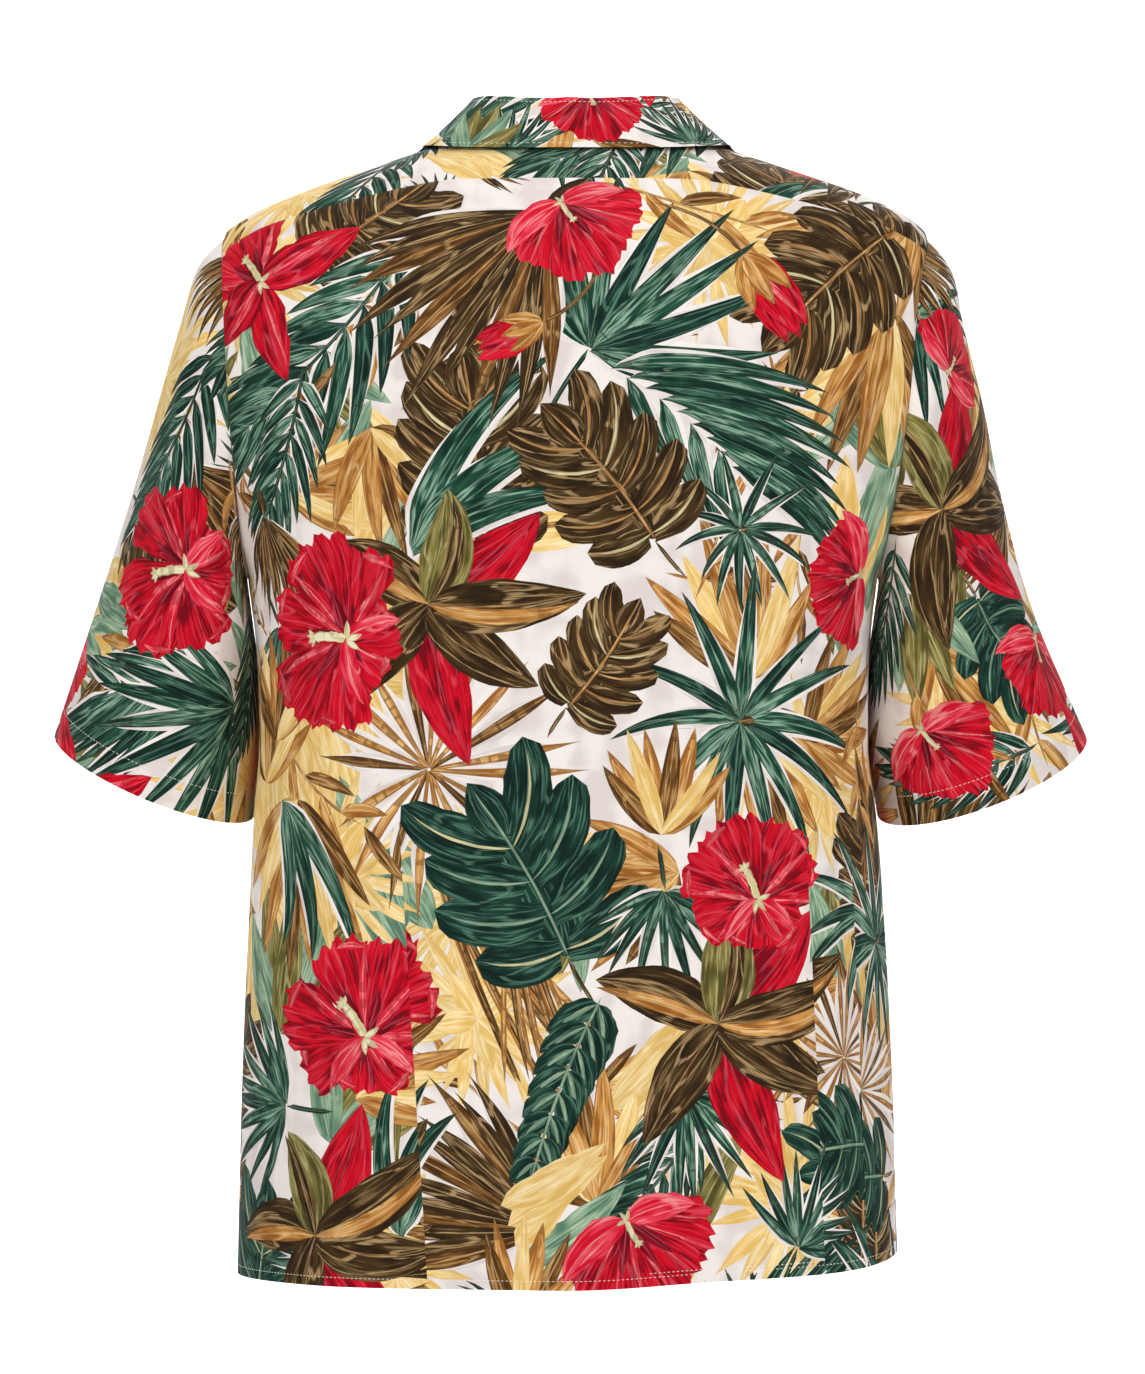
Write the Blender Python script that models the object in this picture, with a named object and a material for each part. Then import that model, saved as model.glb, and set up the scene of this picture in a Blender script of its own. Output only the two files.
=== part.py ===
"""Short-sleeved aloha shirt, hollow, in the shape that it takes when it is worn.

Frame: metres, +Z up, +Y the way the wearer faces, +X the wearer's right. The origin is in the
middle of the neck, level with the neck ends of the shoulders, which hold the shirt up.

The body is one smooth surface, a stack of level sections from hem to neck. Back, fronts and yoke
are regions of it, each with a wall of its own, a hair apart at the seams. A sleeve is a tube of
slanting rings that starts on its armhole. The collar is a band that stands on the neckline,
rolls over and falls back onto the body.

An angle round the body is 0 at the centre back, a quarter turn at the wearer's right side and
half a turn at the centre front. An angle round an armhole or a sleeve is 0 on top, a quarter
turn at the back and half a turn at the underarm.
"""

import math
from collections import namedtuple

import bmesh
import bpy
import numpy as np
from mathutils import Matrix, Vector

# ---------------------------------------------------------------- driving dimensions, in metres

WALL = 0.0015              # thickness of every cloth wall
SEAM_GAP = 0.0003          # clear gap where two pieces are sewn together
STEP = 0.0004              # step of the finite differences that give directions
STEP_TURN = 0.0027         # the same as a turn round the body
SEAM_TURN = 0.01           # and as a turn round an armhole
SEAM_INSIDE = 0.004        # how far inside a panel its slope at the armhole is read
SEAM_INSIDE_TURN = 0.02    # the same as a turn round the body

QUARTER = math.pi / 2.0
HALF_TURN = math.pi

# Level sections of the body, from hem to neck. left and right reach the side seam below the
# armhole, the armhole seam beside it and the ridge of the shoulder above it. power is the
# roundness of the outline: 2 is an ellipse, more is squarer.
Section = namedtuple("Section", "z left right back front power")
BODY = (
    Section(-0.745, 0.2215, 0.2175, 0.128, 0.136, 2.30),
    Section(-0.605, 0.2180, 0.2120, 0.131, 0.140, 2.30),
    Section(-0.480, 0.2125, 0.2060, 0.134, 0.143, 2.30),
    Section(-0.440, 0.2105, 0.2025, 0.135, 0.144, 2.30),
    Section(-0.395, 0.2072, 0.1972, 0.135, 0.144, 2.30),
    Section(-0.330, 0.2090, 0.1985, 0.136, 0.144, 2.30),
    Section(-0.285, 0.2145, 0.2035, 0.136, 0.142, 2.30),
    Section(-0.230, 0.2190, 0.2125, 0.136, 0.136, 2.30),
    Section(-0.172, 0.2235, 0.2205, 0.134, 0.121, 2.30),
    Section(-0.115, 0.2275, 0.2265, 0.128, 0.092, 2.30),
    Section(-0.080, 0.2300, 0.2320, 0.119, 0.073, 2.25),
    Section(-0.059, 0.2310, 0.2370, 0.111, 0.063, 2.20),
    Section(-0.045, 0.2150, 0.2230, 0.103, 0.059, 2.15),
    Section(-0.030, 0.1820, 0.1930, 0.093, 0.055, 2.10),
    Section(-0.015, 0.1400, 0.1495, 0.082, 0.051, 2.05),
    Section(-0.004, 0.1080, 0.1165, 0.071, 0.048, 2.00),
    Section(0.008, 0.0720, 0.0790, 0.060, 0.044, 2.00),
    Section(0.014, 0.0560, 0.0630, 0.055, 0.042, 2.00),
)

# The hem hangs level but for the wearer's right side, where the side seam draws it up.
HEM_LIFT = 0.009           # how much, spread over that half
HEM_CORNER = 0.006         # and how much more right at the seam
HEM_LIFT_POWER = 1.5
HEM_CORNER_POWER = 30

# Soft folds that the cloth hangs in: lines down the body that deepen towards the hem.
Fold = namedtuple("Fold", "turn_low turn_high z_high width depth")
BODY_FOLDS = (
    Fold(-0.31, -0.26, -0.300, 0.030, 0.0035),
    Fold(-0.17, -0.20, -0.360, 0.034, -0.0030),
    Fold(0.03, 0.01, -0.420, 0.038, 0.0025),
    Fold(0.19, 0.22, -0.330, 0.030, -0.0035),
    Fold(0.33, 0.30, -0.280, 0.034, 0.0035),
    Fold(0.60, 0.62, -0.330, 0.034, -0.0040),
    Fold(0.74, 0.70, -0.260, 0.036, 0.0045),
    Fold(-0.63, -0.60, -0.300, 0.034, 0.0040),
    Fold(-0.76, -0.72, -0.260, 0.036, -0.0040),
)

# The armhole: an upright oval that ends at the shoulder's tip and at the underarm.
ARMHOLE_TOP = -0.059
ARMHOLE_LOW = -0.285
ARMHOLE_BACK = 0.078
ARMHOLE_FRONT = 0.070
ARMHOLE_STEPS = 28         # edges round the armhole
YOKE_STEPS = 2             # of them, from the shoulder's tip to each end of the yoke

# Slanting rings of each sleeve, from the armhole to the hem: the outermost and innermost points
# seen from the back, the reach behind and before the ring's middle, how far forward that middle
# is, and how much lower the ring hangs at the back than in the middle.
Ring = namedtuple("Ring", "outer_x outer_z inner_x inner_z back front forward drop")
LEFT_SLEEVE = (
    Ring(0.2310, -0.0590, 0.2145, -0.2850, 0.078, 0.070, 0.000, 0.000),
    Ring(0.2475, -0.0775, 0.2158, -0.2880, 0.079, 0.071, 0.000, 0.000),
    Ring(0.2598, -0.1160, 0.2150, -0.2960, 0.080, 0.072, 0.002, 0.002),
    Ring(0.2755, -0.1690, 0.2130, -0.3160, 0.079, 0.073, 0.009, 0.005),
    Ring(0.2940, -0.2300, 0.2100, -0.3480, 0.077, 0.074, 0.020, 0.010),
    Ring(0.3190, -0.3060, 0.2086, -0.3880, 0.075, 0.074, 0.031, 0.014),
    Ring(0.3468, -0.3886, 0.2140, -0.4435, 0.073, 0.074, 0.038, 0.0155),
)
RIGHT_SLEEVE = (
    Ring(0.2370, -0.0590, 0.2035, -0.2850, 0.078, 0.070, 0.000, 0.000),
    Ring(0.2534, -0.0818, 0.2048, -0.2880, 0.079, 0.071, 0.000, 0.000),
    Ring(0.2608, -0.1160, 0.2042, -0.2960, 0.080, 0.072, 0.002, 0.002),
    Ring(0.2745, -0.1690, 0.2021, -0.3160, 0.079, 0.073, 0.009, 0.005),
    Ring(0.2878, -0.2300, 0.1992, -0.3480, 0.077, 0.074, 0.020, 0.010),
    Ring(0.3098, -0.3060, 0.1988, -0.3880, 0.075, 0.074, 0.031, 0.014),
    Ring(0.3463, -0.3907, 0.2066, -0.4425, 0.073, 0.074, 0.038, 0.0195),
)
SLEEVE_STEPS = 12          # rings of quads from armhole to hem
SLEEVE_CROWDING = 1.15     # how much closer those rings lie near the armhole
SLEEVE_EASE = 0.35         # share of the sleeve over which it takes up the armhole's form
SLEEVE_GIRTH = 0.45
SLEEVE_STEP = 0.004        # step of the finite differences, as a share of the sleeve
LEAST_SLANT = 0.75         # limits how long the wall's slanted edge at the armhole gets

# Soft folds round a sleeve: centre on the ring, centre and half-length along the sleeve.
SleeveFold = namedtuple("SleeveFold", "turn along half_length width depth")
SLEEVE_FOLDS = (
    SleeveFold(0.20, 0.45, 0.30, 0.016, -0.0030),
    SleeveFold(0.33, 0.75, 0.28, 0.018, 0.0030),
    SleeveFold(0.66, 0.55, 0.30, 0.018, -0.0035),
    SleeveFold(0.80, 0.80, 0.25, 0.018, 0.0030),
)

# Neckline, yoke and fronts.
NECK_BACK_Z = -0.003
NECK_SIDE_Z = 0.008
NECK_FRONT_Z = -0.066
NECK_SCOOP = 1.3           # how late the neckline drops towards the front
YOKE_BACK_Z = -0.026       # the yoke's seam at the centre back
YOKE_FLAT = 0.50           # share of the back over which that seam runs level
YOKE_FRONT_TURN = 105.0    # degrees round the neck where the yoke meets a front
OVERLAP = 0.018            # how far each front reaches past the centre line
UNDERLAP_DEPTH = 0.0022    # how far the right front lies behind the left one there
UNDERLAP_FADE = 2.6        # overlaps from the centre line to where it is level again

BODY_ROWS = 14             # quads from hem to underarm
YOKE_ROWS = 5              # quads from armhole to neck along the yoke
BACK_COLUMNS = 28          # quads across the back
FRONT_COLUMNS = 12         # quads across a front, without the overlap
OVERLAP_COLUMNS = 4        # quads across the overlap

# Collar: a row for each place round the neck, from the centre back to the front end. The edge is
# given on the body: its turn round the body, and its height.
CollarRow = namedtuple("CollarRow", "turn stand edge_turn edge_z clear")
COLLAR = (
    CollarRow(0.0, 0.0275, 0.0, -0.0075, 0.0040),
    CollarRow(45.0, 0.0275, 45.0, -0.0065, 0.0038),
    CollarRow(90.0, 0.0255, 90.0, -0.0005, 0.0024),
    CollarRow(120.0, 0.0210, 113.0, -0.0250, 0.0024),
    CollarRow(150.0, 0.0150, 138.0, -0.0660, 0.0024),
    CollarRow(180.0, 0.0090, 160.5, -0.1180, 0.0024),
)
COLLAR_LEAN = math.radians(20.0)
COLLAR_ROLL = 0.0020       # radius of the fold, at the middle of the wall
COLLAR_END = math.radians(179.0)
COLLAR_YOKE_STEPS = 18     # quads along the yoke; along the fronts it has as many as they do
COLLAR_STAND_STEPS = 2
COLLAR_ROLL_STEPS = 3
COLLAR_FALL_STEPS = 4
COLLAR_SEAT = 0.0004       # how far the stand's edge is above the neckline
COLLAR_SETTLE = 1.15       # how soon the fall comes down onto the body

# Buttons.
BUTTON_COUNT = 6
BUTTON_TOP_Z = -0.083
BUTTON_PITCH = 0.100
BUTTON_RADIUS = 0.00575
BUTTON_THICKNESS = 0.0026
BUTTON_RIM = 0.0011
BUTTON_DISH = 0.0006
BUTTON_SIDES = 18
BUTTON_SEAT = 0.0004       # the gap between a button and the cloth under it
THREAD_HOLE_RADIUS = 0.0009
THREAD_HOLE_SIDES = 6
THREAD_HOLE_OFFSET = 0.0013


# ---------------------------------------------------------------------------- smooth tables

def smooth_column(rows, column, key=None):
    """Return a smooth function of the key column, or of the share of the rows passed."""
    values = np.array([getattr(row, column) for row in rows])
    if key is None:
        keys = np.linspace(0.0, 1.0, len(rows))
    else:
        keys = np.array([getattr(row, key) for row in rows])
    chords = np.diff(values) / np.diff(keys)
    slopes = np.concatenate(([chords[0]], (chords[1:] + chords[:-1]) / 2.0, [chords[-1]]))
    turning = chords[1:] * chords[:-1] <= 0.0
    slopes[1:-1][turning] = 0.0

    def value(at):
        at = np.clip(at, keys[0], keys[-1])
        i = np.clip(np.searchsorted(keys, at) - 1, 0, len(keys) - 2)
        width = keys[i + 1] - keys[i]
        s = (at - keys[i]) / width
        return ((1 + 2 * s) * (1 - s) ** 2 * values[i] + s * (1 - s) ** 2 * width * slopes[i]
                + s * s * (3 - 2 * s) * values[i + 1] - s * s * (1 - s) * width * slopes[i + 1])

    return value


def smooth_step(x):
    """Return 0 below 0, 1 above 1 and a soft ramp between."""
    x = min(max(x, 0.0), 1.0)
    return x * x * (3.0 - 2.0 * x)


body = {name: smooth_column(BODY, name, "z") for name in Section._fields if name != "z"}
collar = {name: smooth_column(COLLAR, name, "turn") for name in CollarRow._fields if name != "turn"}


# --------------------------------------------------------------------------- the body's surface

def armhole_reach(z, reach):
    """Return how far the armhole reaches behind or before the shoulder's ridge at a height."""
    middle = (ARMHOLE_TOP + ARMHOLE_LOW) / 2.0
    half = (ARMHOLE_TOP - ARMHOLE_LOW) / 2.0
    return reach * math.sqrt(max(0.0, 1.0 - ((z - middle) / half) ** 2))


def fold_rise(angle, z, radius):
    """Return how far the hanging folds push the cloth out at a place on the body."""
    rise = 0.0
    hem = BODY[0].z
    for fold in BODY_FOLDS:
        down = smooth_step((fold.z_high - z) / (fold.z_high - hem))
        centre = HALF_TURN * (fold.turn_high + (fold.turn_low - fold.turn_high) * down)
        across = (angle - centre + HALF_TURN) % (2.0 * HALF_TURN) - HALF_TURN
        rise += fold.depth * down * math.exp(-(across * radius / fold.width) ** 2)
    return rise


def body_point(angle, z):
    """Return the outer surface of the body at an angle and a height."""
    sine, cosine = math.sin(angle), math.cos(angle)
    edge = float(body["right" if sine >= 0.0 else "left"](z))
    depth = float(body["back" if cosine >= 0.0 else "front"](z))
    power = float(body["power"](z))
    reach = armhole_reach(z, ARMHOLE_BACK if cosine >= 0.0 else ARMHOLE_FRONT)
    width = edge / (1.0 - (reach / depth) ** power) ** (1.0 / power)
    radius = (abs(sine / width) ** power + abs(cosine / depth) ** power) ** (-1.0 / power)
    radius += fold_rise(angle, z, radius)
    return np.array((radius * sine, -radius * cosine, z))


def unit(vector):
    """Return a vector scaled to length one."""
    return vector / np.linalg.norm(vector)


def body_normal(angle, z):
    """Return the direction straight out of the body's surface."""
    around = body_point(angle + STEP_TURN, z) - body_point(angle - STEP_TURN, z)
    up = body_point(angle, z + STEP) - body_point(angle, z - STEP)
    return unit(np.cross(around, up))


def armhole_angle(side, z, reach):
    """Return the angle round the body of the armhole's seam at a height, back or front."""
    edge = float(body["right" if side > 0 else "left"](z))
    if reach > 0.0:
        return side * (QUARTER - math.atan2(armhole_reach(z, reach), edge))
    return side * (QUARTER + math.atan2(armhole_reach(z, -reach), edge))


def hem_height(angle):
    """Return the height of the hem at an angle round the body."""
    right = max(math.sin(angle), 0.0)
    return BODY[0].z + HEM_LIFT * right ** HEM_LIFT_POWER + HEM_CORNER * right ** HEM_CORNER_POWER


def below_armhole(angle, row):
    """Return the height of one row of quads between the hem and the underarm."""
    hem = hem_height(angle)
    return hem + (ARMHOLE_LOW - hem) * row / BODY_ROWS


def neck_height(angle):
    """Return the height of the neckline at an angle round the body."""
    if math.cos(angle) >= 0.0:
        return NECK_BACK_Z + (NECK_SIDE_Z - NECK_BACK_Z) * math.sin(angle) ** 2
    drop = (math.cos(angle) ** 2) ** NECK_SCOOP
    return NECK_SIDE_Z + (NECK_FRONT_Z - NECK_SIDE_Z) * drop


# ----------------------------------------------------------------------------- the sleeves

class Sleeve:
    """A sleeve's outer surface, and the armhole seam that it shares with the body."""

    def __init__(self, side, rings):
        self.side = side
        self.column = {name: smooth_column(rings, name) for name in Ring._fields}

    def seam_point(self, turn):
        """Return a point of the armhole's seam on the body's surface."""
        middle = (ARMHOLE_TOP + ARMHOLE_LOW) / 2.0
        half = (ARMHOLE_TOP - ARMHOLE_LOW) / 2.0
        z = middle + half * math.cos(turn)
        reach = ARMHOLE_BACK if math.sin(turn) >= 0.0 else -ARMHOLE_FRONT
        return body_point(armhole_angle(self.side, z, reach), z)

    def ring_point(self, along, turn):
        """Return a point of the plain ring at a share of the sleeve's length."""
        row = {name: float(column(along)) for name, column in self.column.items()}
        sine, cosine = math.sin(turn), math.cos(turn)
        reach = row["back"] if sine >= 0.0 else row["front"]
        x = (row["outer_x"] + row["inner_x"]) / 2.0 + (row["outer_x"] - row["inner_x"]) / 2.0 * cosine
        z = (row["outer_z"] + row["inner_z"]) / 2.0 + (row["outer_z"] - row["inner_z"]) / 2.0 * cosine
        return np.array((self.side * x, row["forward"] - reach * sine, z - row["drop"] * sine))

    def point(self, along, turn):
        """Return the sleeve's outer surface, which starts exactly on the armhole's seam."""
        place = self.ring_point(along, turn)
        ease = 1.0 - smooth_step(along / SLEEVE_EASE)
        place = place + ease * (self.seam_point(turn) - self.ring_point(0.0, turn))
        outward = unit(place - self.middle(along))
        for fold in SLEEVE_FOLDS:
            across = (turn / (2.0 * HALF_TURN) - fold.turn + 0.5) % 1.0 - 0.5
            fade = smooth_step(1.0 - abs(along - fold.along) / fold.half_length)
            place = place + outward * fold.depth * fade * math.exp(-(across * SLEEVE_GIRTH / fold.width) ** 2)
        return place

    def middle(self, along):
        """Return the middle of a ring."""
        return (self.ring_point(along, 0.0) + self.ring_point(along, HALF_TURN)) / 2.0

    def normal(self, along, turn):
        """Return the direction straight out of the sleeve's surface."""
        low, high = max(along - SLEEVE_STEP, 0.0), min(along + SLEEVE_STEP, 1.0)
        around = self.point(along, turn + SEAM_TURN) - self.point(along, turn - SEAM_TURN)
        down = self.point(high, turn) - self.point(low, turn)
        return unit(np.cross(around, down)) * self.side

    def seam(self, turn):
        """Return the seam's point, the ways into body and sleeve, and the wall's slant there."""
        place = self.seam_point(turn)
        tangent = unit(self.seam_point(turn + SEAM_TURN) - self.seam_point(turn - SEAM_TURN))
        angle = math.atan2(place[0], -place[1]) - self.side * SEAM_INSIDE_TURN * math.sin(turn)
        on_body = body_normal(angle, place[2] + SEAM_INSIDE * math.cos(turn))
        on_body = unit(on_body - tangent * on_body.dot(tangent))
        on_sleeve = self.normal(0.0, turn)
        on_sleeve = unit(on_sleeve - tangent * on_sleeve.dot(tangent))
        into_body = -np.cross(on_body, tangent) * self.side
        into_sleeve = np.cross(on_sleeve, tangent) * self.side
        facing = on_body + on_sleeve
        opening = into_body + into_sleeve
        sign = -1.0 if facing.dot(opening) < -0.001 else 1.0
        slant = unit(facing + sign * opening)
        slant = slant / max(slant.dot(on_body), LEAST_SLANT)
        return place, into_body, into_sleeve, slant


# ----------------------------------------------------------------------------- walls from grids

def grid_normals(points):
    """Return the unit normals of a grid of points, rows by columns."""
    normals = np.cross(np.gradient(points, axis=1), np.gradient(points, axis=0))
    return normals / np.linalg.norm(normals, axis=2, keepdims=True)


def wall_mesh(name, outer, inner, closed):
    """Return a mesh that closes an outer and an inner grid of points into one wall."""
    rows, columns = outer.shape[:2]
    mesh = bpy.data.meshes.new(name)
    shape = bmesh.new()
    skins = []
    for grid in (outer, inner):
        skins.append([[shape.verts.new(Vector(point)) for point in row] for row in grid])
    spans = columns if closed else columns - 1
    for r in range(rows - 1):
        for c in range(spans):
            d = (c + 1) % columns
            for skin in skins:
                shape.faces.new((skin[r][c], skin[r][d], skin[r + 1][d], skin[r + 1][c]))
    for c in range(spans):
        d = (c + 1) % columns
        for r in (0, rows - 1):
            shape.faces.new((skins[0][r][c], skins[0][r][d], skins[1][r][d], skins[1][r][c]))
    if not closed:
        for r in range(rows - 1):
            for c in (0, columns - 1):
                shape.faces.new((skins[0][r][c], skins[0][r + 1][c],
                                 skins[1][r + 1][c], skins[1][r][c]))
    bmesh.ops.recalc_face_normals(shape, faces=shape.faces)
    if shape.calc_volume(signed=True) < 0.0:
        bmesh.ops.reverse_faces(shape, faces=shape.faces)
    bmesh.ops.triangulate(shape, faces=shape.faces, quad_method="SHORT_EDGE")
    shape.to_mesh(mesh)
    shape.free()
    return mesh


def finish(name, colour, roughness):
    """Return a plain material with a colour and a roughness."""
    material = bpy.data.materials.new(name)
    material.use_nodes = True
    shader = material.node_tree.nodes["Principled BSDF"]
    shader.inputs["Base Color"].default_value = (*colour, 1.0)
    shader.inputs["Roughness"].default_value = roughness
    shader.inputs["Metallic"].default_value = 0.0
    return material


def add_piece(name, mesh, colour, roughness=0.8):
    """Add one named sub-part with its own material."""
    mesh.materials.append(finish(name + "_finish", colour, roughness))
    piece = bpy.data.objects.new(name, mesh)
    bpy.context.scene.collection.objects.link(piece)
    mesh.shade_smooth()
    mesh.set_sharp_from_angle(angle=math.radians(50.0))
    return piece


def moved_in(edge, inward):
    """Return an edge's points moved half a seam gap along directions into their piece."""
    return edge + inward * (SEAM_GAP / 2.0)


def ways(edge, beside):
    """Return the unit directions from an edge's points to the points beside them."""
    away = beside - edge
    return away / np.linalg.norm(away, axis=1, keepdims=True)


# ----------------------------------------------------------------------------- the body's panels

def armhole_heights():
    """Return the heights of the armhole's points, from the underarm to the yoke."""
    middle = (ARMHOLE_TOP + ARMHOLE_LOW) / 2.0
    half = (ARMHOLE_TOP - ARMHOLE_LOW) / 2.0
    steps = range(ARMHOLE_STEPS // 2, YOKE_STEPS - 1, -1)
    return [middle + half * math.cos(2.0 * math.pi * step / ARMHOLE_STEPS) for step in steps]


def body_grid(places, hidden_by=None):
    """Return outer and inner points for a grid of angles and heights on the body."""
    outer, inner = [], []
    for row in places:
        outer_row, inner_row = [], []
        for angle, z in row:
            normal = body_normal(angle, z)
            point = body_point(angle, z)
            if hidden_by is not None:
                point = point - normal * hidden_by(point)
            outer_row.append(point)
            inner_row.append(point - normal * WALL)
        outer.append(outer_row)
        inner.append(inner_row)
    return np.array(outer), np.array(inner)


def sew_armhole(outer, inner, column, first_row, sleeve, turns):
    """Slant a panel's wall along the armhole, and open the seam there by half its gap."""
    for i, turn in enumerate(turns):
        place, into_body, _, slant = sleeve.seam(turn)
        outer[first_row + i, column] = place + into_body * (SEAM_GAP / 2.0)
        inner[first_row + i, column] = outer[first_row + i, column] - slant * WALL


def armhole_turns(front):
    """Return the angles round the armhole of one panel's points, underarm first."""
    steps = range(ARMHOLE_STEPS // 2, YOKE_STEPS - 1, -1)
    sign = -1.0 if front else 1.0
    return [sign * 2.0 * math.pi * step / ARMHOLE_STEPS for step in steps]


def back_panel(sleeves):
    """Return the grids of the back, from hem to yoke seam and from left to right."""
    shares = np.linspace(-1.0, 1.0, BACK_COLUMNS + 1)
    places = []
    for step in range(BODY_ROWS):
        places.append([(share * QUARTER, below_armhole(share * QUARTER, step)) for share in shares])
    side_z = armhole_heights()
    centre_z = np.linspace(ARMHOLE_LOW, YOKE_BACK_Z, len(side_z))
    for z_side, z_centre in zip(side_z, centre_z):
        row = []
        for share in shares:
            z = z_centre + (z_side - z_centre) * yoke_seam_drop(share)
            side = 1.0 if share >= 0.0 else -1.0
            angle = abs(share) * armhole_angle(side, z_side, ARMHOLE_BACK)
            row.append((angle, z))
        places.append(row)
    outer, inner = body_grid(places)
    for edge, beside in ((0, 1), (-1, -2)):
        inward = ways(outer[:, edge], outer[:, beside])
        outer[:, edge] = moved_in(outer[:, edge], inward)
        inner[:, edge] = moved_in(inner[:, edge], inward)
    turns = armhole_turns(front=False)
    sew_armhole(outer, inner, 0, BODY_ROWS, sleeves["left"], turns)
    sew_armhole(outer, inner, -1, BODY_ROWS, sleeves["right"], turns)
    for edge, beside in ((0, 1), (-1, -2)):
        inward = unit(outer[BODY_ROWS, beside] - outer[BODY_ROWS, edge])
        outer[BODY_ROWS, edge] = moved_in(outer[BODY_ROWS, edge], inward)
        inner[BODY_ROWS, edge] = moved_in(inner[BODY_ROWS, edge], inward)
    inward = ways(outer[-1], outer[-2])
    outer[-1] = moved_in(outer[-1], inward)
    inner[-1] = moved_in(inner[-1], inward)
    return outer, inner


def yoke_seam_drop(share):
    """Return how far down its drop the yoke's back seam is: level, then falling to the armhole."""
    return (max(abs(share) - YOKE_FLAT, 0.0) / (1.0 - YOKE_FLAT)) ** 2


def yoke_front_place(side, share):
    """Return angle and height on the yoke's front seam, from neck (0) to armhole (1)."""
    at_neck = math.radians(YOKE_FRONT_TURN)
    low_z = armhole_heights()[-1]
    at_armhole = abs(armhole_angle(side, low_z, -ARMHOLE_FRONT))
    angle = at_neck + (at_armhole - at_neck) * share
    high_z = neck_height(at_neck)
    return side * angle, high_z + (low_z - high_z) * share


def front_angles(start, z):
    """Return the angles of a front's columns, from its outer edge to past the centre line."""
    past = OVERLAP / float(body["front"](z))
    angles = list(np.linspace(start, HALF_TURN - past, FRONT_COLUMNS + 1)[:-1])
    return angles + list(np.linspace(HALF_TURN - past, HALF_TURN + past, OVERLAP_COLUMNS + 1))


def front_panel(side, sleeve):
    """Return the grids of one front, from hem to neck and from its side to the centre."""
    places = []
    for step in range(BODY_ROWS):
        angles = front_angles(QUARTER, BODY[0].z)
        places.append([(side * angle, below_armhole(side * angle, step)) for angle in angles])
    edge = [(armhole_angle(side, z, -ARMHOLE_FRONT), z) for z in armhole_heights()]
    for step in range(YOKE_ROWS - 1, -1, -1):
        edge.append(yoke_front_place(side, step / YOKE_ROWS))
    centre_z = np.linspace(ARMHOLE_LOW, NECK_FRONT_Z, len(edge))
    neck_from = math.radians(YOKE_FRONT_TURN)
    neck_drop = neck_height(neck_from) - NECK_FRONT_Z
    for (edge_angle, edge_z), middle_z in zip(edge, centre_z):
        start = abs(edge_angle)
        row = []
        for angle in front_angles(start, middle_z):
            share = min(max((angle - start) / (HALF_TURN - start), 0.0), 1.0)
            on_neck = neck_height(neck_from + (HALF_TURN - neck_from) * share)
            drop = (neck_height(neck_from) - on_neck) / neck_drop
            row.append((side * angle, edge_z + (middle_z - edge_z) * drop))
        places.append(row)

    def behind_left(point):
        across = point[0] / OVERLAP
        return UNDERLAP_DEPTH * smooth_step(UNDERLAP_FADE - across)

    outer, inner = body_grid(places, behind_left if side > 0 else None)
    inward = ways(outer[:, 0], outer[:, 1])
    outer[:, 0] = moved_in(outer[:, 0], inward)
    inner[:, 0] = moved_in(inner[:, 0], inward)
    sew_armhole(outer, inner, 0, BODY_ROWS, sleeve, armhole_turns(front=True))
    inward = unit(outer[BODY_ROWS, 1] - outer[BODY_ROWS, 0])
    outer[BODY_ROWS, 0] = moved_in(outer[BODY_ROWS, 0], inward)
    inner[BODY_ROWS, 0] = moved_in(inner[BODY_ROWS, 0], inward)
    corner = BODY_ROWS + len(armhole_heights()) - 1
    inward = ways(outer[corner:corner + 1, 0], outer[corner:corner + 1, 1])
    outer[corner, 0] = moved_in(outer[corner, 0], inward[0])
    inner[corner, 0] = moved_in(inner[corner, 0], inward[0])
    return outer, inner


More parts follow.
